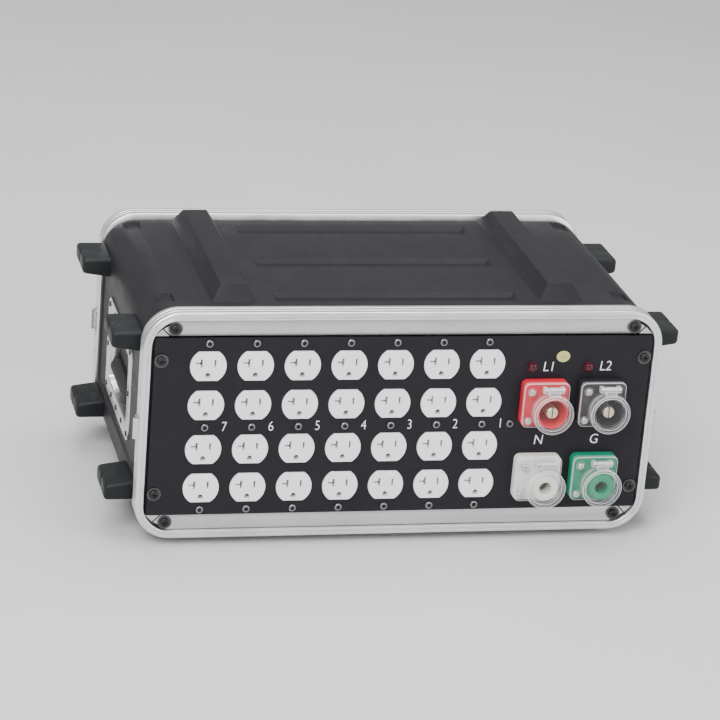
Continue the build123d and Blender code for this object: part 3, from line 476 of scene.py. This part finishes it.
def edge_block(bm, place, size, edge, taper=(0.0, 0.0), steps=3):
    """A rounded block whose outer (+x) end is cut down by taper: (from its low side, from its high side)."""
    made = bmesh.ops.create_cube(bm, size=1)
    verts = made["verts"]
    bmesh.ops.scale(bm, vec=Vector(size) * MM, verts=verts)
    low = [vert for vert in verts if vert.co.x > 0 and vert.co.z < 0]
    high = [vert for vert in verts if vert.co.x > 0 and vert.co.z > 0]
    bmesh.ops.translate(bm, vec=(0, 0, taper[0] * MM), verts=low)
    bmesh.ops.translate(bm, vec=(0, 0, -taper[1] * MM), verts=high)
    bmesh.ops.transform(bm, matrix=place, verts=verts)
    edges = list({e for vert in verts for e in vert.link_edges})
    bmesh.ops.bevel(
        bm,
        geom=edges,
        offset=edge * MM,
        offset_type="OFFSET",
        affect="EDGES",
        segments=steps,
        profile=0.5,
        material=-1,
    )


def cut(bm, faces, axis, value):
    """Cuts the given faces along a plane across one axis and returns all the faces that they become."""
    normal = [0, 0, 0]
    normal[axis] = 1
    point = [0, 0, 0]
    point[axis] = value
    others = set(bm.faces) - set(faces)
    verts = {vert for face in faces for vert in face.verts}
    edges = {edge for face in faces for edge in face.edges}
    geom = list(faces) + list(edges) + list(verts)
    bmesh.ops.bisect_plane(bm, geom=geom, plane_co=point, plane_no=normal, dist=1e-7)
    return [face for face in bm.faces if face not in others]


def wall_faces(bm, axis, value):
    """The faces that lie flat in one plane across an axis."""
    return [
        face
        for face in bm.faces
        if abs(face.calc_center_median()[axis] - value) < 1e-5 and abs(face.normal[axis]) > 0.99
    ]


def inside(faces, low, high):
    """Those faces whose middle lies in a box."""
    return [
        face
        for face in faces
        if all(low[i] <= face.calc_center_median()[i] <= high[i] for i in range(3))
    ]


def join(bm, other):
    """Adds another bmesh to this one and frees it."""
    mesh = bpy.data.meshes.new("joined")
    other.to_mesh(mesh)
    other.free()
    bm.from_mesh(mesh)
    bpy.data.meshes.remove(mesh)


def soften(bm, offset, angle=28, steps=2):
    """Rounds every edge that is sharper than an angle."""
    bm.normal_update()
    edges = [
        edge
        for edge in bm.edges
        if len(edge.link_faces) == 2 and edge.calc_face_angle(0) > math.radians(angle)
    ]
    bmesh.ops.bevel(
        bm,
        geom=edges,
        offset=offset,
        offset_type="OFFSET",
        affect="EDGES",
        segments=steps,
        profile=0.5,
        material=-1,
        clamp_overlap=True,
    )


class POWERBOX_OT_case_shell(bpy.types.Operator):
    """The moulded case with its stacking ribs, channels, pockets and side recesses"""
    bl_idname = "powerbox.case_shell"
    bl_label = "Case shell"

    def execute(self, context):
        bm = bmesh.new()
        neck = (483, 210, 26.2)
        moulded(
            bm,
            on_front(),
            [
                (475, 206, 21, -6),
                (481, 208, 25, -6),
                (*neck, -7),
                (*neck, -19.2),
                (493.6, 211.6, 28.8, -19.2),
                (495.6, 213.6, 29.8, -19.9),
                (496, 214, 30, -21),
                (496, 214, 30, -282),
                (495.6, 213.6, 29.8, -283.1),
                (493.6, 211.6, 28.8, -283.8),
                (*neck, -283.8),
                (*neck, -296),
                (481, 208, 25, -297),
                (475, 206, 21, -297),
            ],
            steps=10,
            closed=True,
        )
        bmesh.ops.remove_doubles(bm, verts=bm.verts, dist=1e-6)
        bmesh.ops.recalc_face_normals(bm, faces=bm.faces)
        half = 0.107
        for side in (1, -1):
            faces = wall_faces(bm, 2, MID + side * half)
            for x in (-0.1805, -0.1375, 0.1375, 0.1805):
                faces = cut(bm, faces, 0, x)
            for y in (FRONT + 0.045, REAR - 0.0222):
                faces = cut(bm, faces, 1, y)
            for x in (-0.159, 0.159):
                low = (x - 0.0215, FRONT + 0.045, 0)
                high = (x + 0.0215, REAR - 0.0222, 1)
                foot = inside(faces, low, high)
                bmesh.ops.inset_region(
                    bm, faces=foot, thickness=0.0098, depth=0.015, use_even_offset=True, use_boundary=True
                )
        for y in (0.058, 0.155, 0.253):
            top = inside(wall_faces(bm, 2, MID + half), (-0.1375, FRONT, 0), (0.1375, REAR, 1))
            for value in (FRONT + y - 0.012, FRONT + y + 0.012):
                top = cut(bm, top, 1, value)
            for value in (-0.119, 0.119):
                top = cut(bm, top, 0, value)
            low = (-0.119, FRONT + y - 0.012, 0)
            high = (0.119, FRONT + y + 0.012, 1)
            channel = inside(top, low, high)
            bmesh.ops.inset_region(
                bm, faces=channel, thickness=0.0042, depth=-0.0042, use_even_offset=True, use_boundary=True
            )
        for side in (1, -1):
            for y in (0.060, 0.266):
                corner = inside(bm.faces, (-0.25, FRONT + 0.022, MID + 0.09), (0.25, REAR - 0.022, MID + 0.1071))
                corner = [face for face in corner if face.normal.z > 0.6 and face.calc_center_median().x * side > 0.18]
                for value in (side * 0.214, side * 0.230):
                    corner = cut(bm, corner, 0, value)
                for value in (FRONT + y - 0.011, FRONT + y + 0.011):
                    corner = cut(bm, corner, 1, value)
                ends = sorted((side * 0.214, side * 0.230))
                low = (ends[0], FRONT + y - 0.011, 0)
                high = (ends[1], FRONT + y + 0.011, 1)
                pocket = inside(corner, low, high)
                bmesh.ops.inset_region(bm, faces=pocket, thickness=0.0008, use_even_offset=True, use_boundary=True)
                verts = list({vert for face in pocket for vert in face.verts})
                bmesh.ops.translate(bm, vec=(0, 0, -0.0028), verts=verts)
        for side in (1, -1):
            wall = wall_faces(bm, 0, side * 0.248)
            for value in (MID - 0.061, MID + 0.061, MID - 0.0357, MID + 0.0357):
                wall = cut(bm, wall, 2, value)
            for value in (FRONT + 0.0315, FRONT + 0.0913, FRONT + 0.2127, FRONT + 0.2725):
                wall = cut(bm, wall, 1, value)
            low = (-1, FRONT + 0.0315, MID - 0.061)
            high = (1, FRONT + 0.2725, MID + 0.061)
            recess = inside(wall, low, high)
            bmesh.ops.inset_region(
                bm, faces=recess, thickness=0.0025, depth=-0.002, use_even_offset=True, use_boundary=True
            )
            low = (-1, FRONT + 0.0913, MID - 0.0357)
            high = (1, FRONT + 0.2127, MID + 0.0357)
            dish = inside(recess, low, high)
            bmesh.ops.inset_region(
                bm, faces=dish, thickness=0.0002, depth=-0.0184, use_even_offset=True, use_boundary=True
            )
        soften(bm, sizes().edge)
        piece("moulded_case_shell", bm, finish("case"), "case", ["case_shell"], 50)
        return {"FINISHED"}


class POWERBOX_OT_bumpers(bpy.types.Operator):
    """Eight side bumpers, each with two rounded lobes"""
    bl_idname = "powerbox.bumpers"
    bl_label = "Bumpers"

    def execute(self, context):
        for side, name in ((-1, "left"), (1, "right")):
            bm = bmesh.new()
            for start in (0.026, 0.228):
                for half in (1, -1):
                    taper = (4.5, 0) if half > 0 else (0, 4.5)
                    for offset in (0.0136, 0.0394):
                        place = Matrix.Translation(
                            (side * 0.2595, FRONT + start + offset, MID + half * 0.0745)
                        ) @ Matrix.Rotation(0 if side > 0 else math.pi, 4, "Z")
                        edge_block(bm, place, (30.9, 27.2, 19.8), 3.6, taper, 4)
                    core = Matrix.Translation((side * 0.2545, FRONT + start + 0.0265, MID + half * 0.0745))
                    core = core @ Matrix.Rotation(0 if side > 0 else math.pi, 4, "Z")
                    inner = (3.0, 0) if half > 0 else (0, 3.0)
                    edge_block(bm, core, (30, 44, 19.4), 1.5, inner, 2)
            piece(f"rubbing_bumpers_{name}", bm, finish("bumper"), "case", [f"bumpers_{name}"], 40)
        return {"FINISHED"}


def ring_sections():
    """The ring's cross-section as (inset from its outline, level behind its rim), in millimetres."""
    return [
        (8.0, -19.0), (0.8, -19.0), (0.0, -18.2), (0.0, -13.3), (0.35, -12.9), (0.8, -12.8), (0.8, -11.8),
        (0.35, -11.7), (0.0, -11.3), (0.0, -7.3), (0.35, -6.9), (0.8, -6.8), (0.8, -5.8), (0.35, -5.7),
        (0.0, -5.3), (0.0, -2.2), (0.25, -1.2), (0.8, -0.45), (1.6, -0.05), (2.2, 0.0), (3.6, 0.0), (3.9, -0.2),
        (4.0, -1.0), (5.0, -1.0), (5.1, -0.2), (5.4, 0.0), (6.9, 0.0), (7.6, -0.3), (8.0, -1.0),
    ]


class POWERBOX_OT_end_rings(bpy.types.Operator):
    """The two grooved aluminium rings"""
    bl_idname = "powerbox.end_rings"
    bl_label = "End rings"

    def execute(self, context):
        sections = [(499 - 2 * inset, 226 - 2 * inset, 34 - inset, level) for inset, level in ring_sections()]
        for name, place, node in (
            ("grooved_ring_front", on_front(), "front_ring"),
            ("grooved_ring_rear", on_rear(), "rear_ring"),
        ):
            bm = bmesh.new()
            moulded(bm, place, sections, steps=14, closed=True)
            piece(name, bm, finish("ring"), "case", [node], 50)
        return {"FINISHED"}


class POWERBOX_OT_trim(bpy.types.Operator):
    """The bright strips above and below both panels"""
    bl_idname = "powerbox.trim"
    bl_label = "Trim strips"

    def execute(self, context):
        bm = bmesh.new()
        for place in (on_front(0, 0, -0.003), on_rear(0, 0, -0.003)):
            for side in (1, -1):
                strip = bmesh.new()
                bmesh.ops.create_cube(strip, size=1)
                bmesh.ops.scale(strip, vec=(0.448, 0.0148, 0.0015), verts=strip.verts)
                bmesh.ops.translate(strip, vec=(0, side * 0.097, -0.00075), verts=strip.verts)
                cut(strip, list(strip.faces), 1, side * 0.0968)
                for vert in strip.verts:
                    if abs(vert.co.y) > 0.1:
                        vert.co.x -= math.copysign(0.006, vert.co.x)
                    elif abs(vert.co.y) > 0.0965:
                        vert.co.x += math.copysign(0.0072, vert.co.x)
                soften(strip, 0.0004, 40, 2)
                bmesh.ops.transform(strip, matrix=place, verts=strip.verts)
                join(bm, strip)
        piece("bright_trim_strips", bm, finish("strip"), "case", ["trim_strips"], 40)
        return {"FINISHED"}


def flange_sections(front):
    """The square flange's outer sections, from its back face up to its front face."""
    return [
        (45, 45, 5.6, 0.05, -5, 5.5),
        (45, 45, 5.6, front - 1.2, -5, 5.5),
        (44.6, 44.6, 5.4, front - 0.5, -5, 5.5),
        (43.4, 43.4, 5.0, front, -5, 5.5),
    ]


def sections_of(bm, place, levels, steps=9, **ends):
    """Moulded sections that may sit off the middle: (width, height, radius, level, dx, dy)."""
    loops = []
    for width, height, radius, level, *offset in levels:
        dx, dy = offset or (0, 0)
        spot = place @ shift(dx, dy)
        radius = min(radius, width / 2 - 0.002)
        loops.append(rounded_loop(bm, width * MM, height * MM, radius * MM, spot, level * MM, steps))
    skin(bm, loops, place, **ends)


def round_sections(pairs):
    """Circles written as moulded sections: (radius, level) pairs."""
    return [(2 * radius, 2 * radius, radius, level) for radius, level in pairs]


class POWERBOX_OT_inlet_bodies(bpy.types.Operator):
    """The coloured flanges with their collars or insulators"""
    bl_idname = "powerbox.inlet_bodies"
    bl_label = "Inlet bodies"

    def execute(self, context):
        for name, (x, z) in INLETS.items():
            bm = bmesh.new()
            if name in ("l1", "l2"):
                sleeve = [
                    (16.2, 9), (15.4, 9.3), (15.2, 10), (15.2, 19.8), (14.9, 20.6), (14.3, 21),
                    (13.8, 21), (13.2, 20.6), (13, 20), (13, -11), (12.4, -12), (5.1, -12), (5.1, -24),
                ]
            else:
                sleeve = [
                    (14.4, 9), (13.4, 9.4), (13, 10.2), (13, 21), (12.6, 22.3), (11.6, 23), (7.2, 23),
                    (6.3, 22.4), (6.1, 21.6), (6.1, 10), (8.02, 10), (8.02, -24),
                ]
            outer = flange_sections(9)
            back = round_sections([(16.8, -24), (17.0, -23.4), (17.0, 0.05)])
            sections_of(bm, on_front(x, z), outer + round_sections(sleeve) + back, steps=9, closed=True)
            piece(f"inlet_flange_{name}", bm, finish(name), "case", [f"inlet_body_{name}"], 40)
        return {"FINISHED"}


def along_x(x, z, out):
    """A place whose z runs along +X."""
    return on_front(x, z, out) @ Matrix.Rotation(math.radians(90), 4, "Y")


class POWERBOX_OT_inlet_covers(bpy.types.Operator):
    """The clear cover plates with their hinge knuckles and screw bosses"""
    bl_idname = "powerbox.inlet_covers"
    bl_label = "Inlet covers"

    def execute(self, context):
        bm = bmesh.new()
        for x, z in INLETS.values():
            place = on_front(x, z)
            outer = [
                (44.6, 44.6, 5.4, 9.05, -5, 5.5),
                (44.6, 44.6, 5.4, 12.0, -5, 5.5),
                (44.2, 44.2, 5.2, 12.7, -5, 5.5),
                (43.2, 43.2, 4.8, 13.0, -5, 5.5),
            ]
            hole = round_sections([(17.0, 13.0), (16.4, 12.6), (16.2, 12.0), (16.2, 9.05)])
            sections_of(bm, place, outer + hole, steps=9, closed=True)
            for side in (-1, 1):
                spot = along_x(x + side * 0.0083, z + 0.0225, 0.0175)
                rings = round_sections([(1.22, -2), (2.8, -2), (3.2, -1.6), (3.2, 1.6), (2.8, 2), (1.22, 2)])
                sections_of(bm, spot, rings, steps=5, closed=True)
                block(bm, place @ shift(side * 8.3, 22.5, 14.3), (3.9, 6.0, 2.8), 0.5)
            for dx, dy in ((-20.0, 19.0), (-21.5, -10.0)):
                boss = round_sections([(4.4, 12.9), (4.4, 13.2), (4.2, 13.35), (3.5, 13.35), (3.3, 12.9)])
                sections_of(bm, place @ shift(dx, dy), boss, steps=4, closed=True)
        # The sloped faces get the edge finish, painted highlights as bright rims.
        edges = finish("clear_highlight_edge")
        piece("clear_cover_plates", bm, finish("clear"), "case", ["inlet_covers"], 40, edges)
        return {"FINISHED"}


class POWERBOX_OT_inlet_lids(bpy.types.Operator):
    """The clear flip lids, each a stepped cup on a hinge barrel"""
    bl_idname = "powerbox.inlet_lids"
    bl_label = "Inlet lids"

    def execute(self, context):
        for name, (x, z) in INLETS.items():
            bm = bmesh.new()
            place = on_front(x, z)
            cup = [
                (14.6, 26.25), (15.0, 26.3), (15.3, 26.9), (15.7, 27.0), (17.0, 27.0), (17.4, 26.8), (17.5, 26.0),
                (18.6, 26.0), (19.3, 25.6), (19.5, 24.8), (19.5, 14.0), (19.2, 13.4), (16.9, 13.4), (16.6, 13.8),
                (16.6, 23.8), (16.0, 24.6),
            ]
            sections_of(bm, place, round_sections(cup), steps=12)
            spot = along_x(x, z + 0.0225, 0.0175)
            barrel = round_sections([(1.26, -6), (2.9, -6), (3.2, -5.7), (3.2, 5.7), (2.9, 6), (1.26, 6)])
            sections_of(bm, spot, barrel, steps=6, closed=True)
            block(bm, place @ shift(0, 19.6, 18.2), (11.6, 4.4, 4.6), 0.8)
            for side in (-1, 1):
                block(bm, place @ shift(side * 4.9, 20.0, 20.9), (1.2, 5.0, 1.4), 0.4)
            node = f"inlet_lid_{name}"
            # The sloped faces get the edge finish, painted highlights as bright rims.
            edges = finish("clear_highlight_edge")
            piece(f"flip_lid_{name}", bm, finish("clear"), f"lid_{name}", [node], 40, edges)
        return {"FINISHED"}


class POWERBOX_OT_screw_heads(bpy.types.Operator):
    """The dished heads of the outlet screws, with painted shade in their drive recesses"""
    bl_idname = "powerbox.screw_heads"
    bl_label = "Screw heads"

    def execute(self, context):
        heads = bmesh.new()
        recesses = bmesh.new()
        places = [(x, z) for x in COLUMNS for z in (0.0833, 0, -0.0833)] + [(0.1059, 0)]
        for x, z in places:
            place = on_front(x, z)
            dish = [
                (1.7, -9), (1.7, 0.02), (3.6, 0.02), (3.7, 0.15), (3.7, 0.7), (3.5, 1.3), (3.1, 1.75), (2.6, 1.9),
                (2.2, 1.85), (2.0, 1.5), (1.8, 0.5), (1.0, 0.35),
            ]
            turned(heads, place, dish, 24)
            # A near-black disc and cross sit in each dish: painted shade for the drive recess.
            turned(recesses, place, [(1.7, 0.55), (1.65, 0.75), (1.2, 0.9)], 16)
            for size in ((3.3, 0.7, 0.9), (0.7, 3.3, 0.9)):
                block(recesses, place @ shift(0, 0, 0.9), size, 0.1, 1)
        piece("yoke_screw_heads", heads, finish("dark_screw"), "case", ["yoke_screws"], 45)
        piece("yoke_screw_recess_painted_shade", recesses, finish("black_screw"))
        return {"FINISHED"}


class POWERBOX_OT_lamps(bpy.types.Operator):
    """The two pilot lamps"""
    bl_idname = "powerbox.lamps"
    bl_label = "Pilot lamps"

    def execute(self, context):
        bm = bmesh.new()
        for x in (0.1222, 0.1778):
            lens = [
                (5.2, 0.02), (5.2, 0.8), (4.9, 1.2), (4.4, 1.25), (4.3, 1.5), (4.3, 3.2), (4.1, 4.0), (3.5, 4.6),
                (2.4, 4.9), (1.0, 5.0),
            ]
            turned(bm, on_front(x, 0.0576), lens, 32)
        piece("pilot_lamp_lenses", bm, finish("lamp"), "case", ["lamp_lenses"], 45)
        return {"FINISHED"}


class POWERBOX_OT_handles(bpy.types.Operator):
    """The recessed plates, arms and grips of both side handles"""
    bl_idname = "powerbox.handles"
    bl_label = "Side handles"

    def execute(self, context):
        for side, name in ((-1, "left"), (1, "right")):
            middle = FRONT + 0.152
            bm = bmesh.new()
            moulded(
                bm,
                on_side(side, 0.2475, middle, MID),
                [
                    (110, 60, 4, -17), (115, 65, 5, -16.2), (117, 67, 5, -14), (118, 68, 5, -1.4), (118.6, 68.6, 5.3, -0.5),
                    (120, 70, 6, 0), (149.4, 97.4, 11.7, 0), (150, 98, 12, -0.4), (150, 98, 12, -1.45),
                    (120.4, 70.4, 6, -1.45), (120, 70, 6, -15), (115, 65, 5, -18),
                ],
                steps=7,
            )
            piece(f"recessed_plate_{name}", bm, finish("plate"), "case", [f"handle_dish_{name}"], 40)
            bm = bmesh.new()
            for y in (middle - 0.052, middle + 0.049):
                place = Matrix.Translation((side * 0.240, y, MID + 0.005)) @ Matrix.Rotation(math.radians(90), 4, "X")
                moulded(
                    bm,
                    place,
                    [
                        (10.0, 52.0, 4.9, 0), (10.8, 52.8, 5.3, -0.3), (11, 53, 5.4, -0.8), (11, 53, 5.4, -2.2),
                        (10.8, 52.8, 5.3, -2.7), (10.0, 52.0, 4.9, -3.0),
                    ],
                    steps=7,
                )
            bar = Matrix.Translation((side * 0.240, middle, MID - 0.016)) @ Matrix.Rotation(math.radians(90), 4, "X")
            turned(bm, bar, [(3.9, -50), (3.9, 50)], 24)
            piece(
                f"handle_arms_{name}", bm, finish("nickel"), f"handle_{name}", [f"handle_bail_{name}"], 40
            )
            bm = bmesh.new()
            grip = [(5.2, -48.9), (6.6, -48.6), (7.2, -47.8), (7.4, -46.5)]
            for y in (-44, -41, -38, 35, 38, 41):
                grip += [(7.45, y), (7.45, y + 1.9), (6.9, y + 2.1), (6.9, y + 2.8)]
            grip = grip[:16] + [(7.45, -35), (7.5, 0), (7.45, 34.8)] + grip[16:]
            grip += [(7.4, 46.5), (7.2, 47.8), (6.6, 48.6), (5.2, 48.9)]
            turned(bm, bar, grip, 32)
            piece(f"rubber_grip_{name}", bm, finish("grip"), f"handle_{name}", [f"handle_grip_{name}"], 40)
        return {"FINISHED"}


class POWERBOX_OT_carried_nodes(bpy.types.Operator):
    """Gives every CAD node that stays its own finish"""
    bl_idname = "powerbox.carried_nodes"
    bl_label = "Carried-over nodes"

    def execute(self, context):
        edge = sizes().edge
        for node, name, soften in (
            ("case_shell", "case", edge),
            ("bumpers_left", "bumper", edge),
            ("bumpers_right", "bumper", edge),
            ("front_ring", "ring", None),
            ("rear_ring", "ring", None),
            ("trim_strips", "strip", 0.0003),
            ("corner_gussets", "strip", 0.0002),
            ("lid_catches", "nickel", 0.0004),
            ("frame_rivets", "nickel", 0.0003),
            ("rack_rails_front", "zinc", None),
            ("rack_rails_rear", "zinc", None),
            ("front_panel", "panel", None),
            ("outlet_faces", "outlet", 0.0003),
            # The outlet backs are near-black: painted shade behind the outlet holes.
            ("outlet_bodies", "outlet_back", None),
            # Dark brass: painted shade inside the outlet holes.
            ("outlet_contacts", "contact", None),
            ("outlet_straps", "zinc", None),
            ("yoke_screws", "dark_screw", None),
            ("black_screws", "black_screw", None),
            ("black_washers", "washer", 0.0002),
            ("inlet_body_l1", "l1", None),
            ("inlet_body_l2", "l2", None),
            ("inlet_body_n", "n", None),
            ("inlet_body_g", "g", None),
            ("inlet_pins", "brass", None),
            ("inlet_sockets", "brass", None),
            ("inlet_covers", "clear", None),
            ("inlet_hinge_pins", "nickel", None),
            ("inlet_cover_screws", "nickel", None),
            ("inlet_lid_l1", "clear", None),
            ("inlet_lid_l2", "clear", None),
            ("inlet_lid_n", "clear", None),
            ("inlet_lid_g", "clear", None),
            ("lamp_lenses", "lamp", None),
            ("lamp_bodies", "black_screw", None),
            ("round_sticker", "sticker", None),
            ("rear_panel", "panel", None),
            ("branch_breakers", "breaker", 0.0004),
            ("main_breaker", "breaker", 0.0004),
            ("main_toggle", "toggle", 0.0005),
            ("din_rail", "zinc", None),
            ("distribution_block", "block", None),
            ("neutral_bar", "brass", None),
            ("ground_bar", "brass", None),
            ("bar_supports", "block", None),
            ("handle_dish_left", "plate", 0.0006),
            ("handle_dish_right", "plate", 0.0006),
            ("handle_bail_left", "nickel", 0.0006),
            ("handle_bail_right", "nickel", 0.0006),
            ("handle_grip_left", "grip", 0.001),
            ("handle_grip_right", "grip", 0.001),
            ("handle_rods", "nickel", None),
            ("handle_rivets", "black_screw", 0.0003),
        ):
            paint_node(node, finish(name), soften)
        for number in range(1, 8):
            paint_node(f"branch_toggle_{number}", finish("toggle"), 0.0005)
        return {"FINISHED"}


def lettering(name, words, x, z, height, slant, spread=1.0, weight=0.0, width=1.0):
    """Printed letters, 0.1 mm proud of the panel, centred on a point."""
    curve = bpy.data.curves.new(name, "FONT")
    curve.body = words
    curve.size = height / 0.7
    curve.align_x = "CENTER"
    curve.align_y = "CENTER"
    curve.shear = slant
    curve.space_character = spread
    curve.offset = weight
    curve.extrude = 0.00004
    source = bpy.data.objects.new(name + "_source", curve)
    bpy.context.scene.collection.objects.link(source)
    bpy.context.view_layer.update()
    graph = bpy.context.evaluated_depsgraph_get()
    mesh = bpy.data.meshes.new_from_object(source.evaluated_get(graph))
    bpy.data.objects.remove(source)
    bpy.data.curves.remove(curve)
    mesh.transform(on_front(x, z, 0.00005) @ Matrix.Diagonal((width, 1, 1, 1)))
    mesh.name = name
    made = bpy.data.objects.new(name, mesh)
    bpy.context.scene.collection.objects.link(made)
    made.data.materials.clear()
    made.data.materials.append(finish("ink"))
    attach(made, "case")
    return made


class POWERBOX_OT_lettering(bpy.types.Operator):
    """Prints the column numbers and the inlet letters"""
    bl_idname = "powerbox.lettering"
    bl_label = "Lettering"

    def execute(self, context):
        digit = sizes().digit
        letter = sizes().letter
        for number, column in zip(range(7, 0, -1), COLUMNS):
            lettering(f"column_number_{number}", str(number), column + 0.0185, 0, digit, 0.0, weight=-0.00018, width=0.8)
        for words, x, z in (
            ("L1", 0.1389, 0.0574),
            ("L2", 0.1949, 0.0577),
            ("N", 0.1358, -0.0176),
            ("G", 0.1913, -0.0174),
        ):
            lettering(f"inlet_letters_{words.lower()}", words, x, z, letter, 0.1, 1.0, -0.0001, 0.9)
        bm = bmesh.new()
        block(bm, on_front(0.1521, 0.068, 0.00032) @ Matrix.Rotation(math.radians(12), 4, "Z"), (5.4, 0.35, 0.1), 0.03, 1)
        piece("sticker_line", bm, finish("contact"))
        return {"FINISHED"}


class POWERBOX_OT_stage(bpy.types.Operator):
    """Makes the floor, the studio lights and the camera"""
    bl_idname = "powerbox.stage"
    bl_label = "Stage"

    def execute(self, context):
        scene = context.scene
        for name in ("Cube", "Light", "Camera"):
            spare = bpy.data.objects.get(name)
            if spare:
                bpy.data.objects.remove(spare)
        bm = bmesh.new()
        bmesh.ops.create_grid(bm, x_segments=2, y_segments=2, size=6)
        mesh = bpy.data.meshes.new("studio_floor")
        bm.to_mesh(mesh)
        bm.free()
        floor = bpy.data.objects.new("studio_floor", mesh)
        scene.collection.objects.link(floor)
        material, tree, shader, coords = new_finish("studio_floor_paper")
        tone = tinted(tree, noise(tree, coords, 3, 2), (0.62, 0.62, 0.62), (0.65, 0.65, 0.65))
        tree.links.new(tone, shader.inputs["Base Color"])
        shader.inputs["Roughness"].default_value = 0.8
        floor.data.materials.append(material)
        world = bpy.data.worlds.new("studio_world")
        world.use_nodes = True
        world.node_tree.nodes["Background"].inputs["Color"].default_value = (1, 1, 1, 1)
        world.node_tree.nodes["Background"].inputs["Strength"].default_value = 0.55
        scene.world = world
        for name, place, size, power in (
            ("key_light", (-1.4, -2.2, 2.4), 1.8, 138),
            ("fill_light", (2.4, -2.2, 1.4), 2.0, 58),
            ("top_light", (0.1, 0.4, 2.6), 2.2, 62),
        ):
            lamp = bpy.data.lights.new(name, "AREA")
            lamp.energy = power
            lamp.size = size
            lit = bpy.data.objects.new(name, lamp)
            lit.location = place
            aim = Vector((0, 0, 0.1)) - Vector(place)
            lit.rotation_euler = aim.to_track_quat("-Z", "Y").to_euler()
            scene.collection.objects.link(lit)
        lens = bpy.data.cameras.new("studio_camera")
        lens.lens = 145.276
        lens.sensor_width = 36
        lens.clip_start = 0.05
        camera = bpy.data.objects.new("studio_camera", lens)
        right = Vector((0.97301, -0.21741, 0.07740)).normalized()
        up = Vector((0.00761, 0.36543, 0.93081)).normalized()
        back = right.cross(up).normalized()
        turn = Matrix((right, back.cross(right), back)).transposed()
        camera.matrix_world = Matrix.Translation((-0.66898, -2.58456, 1.15358)) @ turn.to_4x4()
        scene.collection.objects.link(camera)
        scene.camera = camera
        return {"FINISHED"}


OPERATORS = (
    POWERBOX_OT_finishes,
    POWERBOX_OT_case_shell,
    POWERBOX_OT_bumpers,
    POWERBOX_OT_end_rings,
    POWERBOX_OT_trim,
    POWERBOX_OT_inlet_bodies,
    POWERBOX_OT_inlet_covers,
    POWERBOX_OT_inlet_lids,
    POWERBOX_OT_screw_heads,
    POWERBOX_OT_lamps,
    POWERBOX_OT_handles,
    POWERBOX_OT_carried_nodes,
    POWERBOX_OT_lettering,
    POWERBOX_OT_stage,
)


class POWERBOX_PT_panel(bpy.types.Panel):
    """Lists the settings and the operators in the order they run"""
    bl_idname = "POWERBOX_PT_panel"
    bl_label = "Power Box"
    bl_space_type = "VIEW_3D"
    bl_region_type = "UI"
    bl_category = "Power Box"

    def draw(self, context):
        layout = self.layout
        for group in (context.scene.power_box_colours, context.scene.power_box_sizes):
            for name in group.bl_rna.properties.keys():
                if name not in ("rna_type", "name"):
                    layout.prop(group, name)
        for operator in OPERATORS:
            layout.operator(operator.bl_idname)


CLASSES = (PowerBoxColours, PowerBoxSizes, *OPERATORS, POWERBOX_PT_panel)


def register():
    for cls in CLASSES:
        bpy.utils.register_class(cls)
    bpy.types.Scene.power_box_colours = PointerProperty(type=PowerBoxColours)
    bpy.types.Scene.power_box_sizes = PointerProperty(type=PowerBoxSizes)


def unregister():
    del bpy.types.Scene.power_box_sizes
    del bpy.types.Scene.power_box_colours
    for cls in reversed(CLASSES):
        bpy.utils.unregister_class(cls)


def main():
    register()
    for operator in OPERATORS:
        category, name = operator.bl_idname.split(".")
        getattr(getattr(bpy.ops, category), name)()


if __name__ == "__main__":
    main()
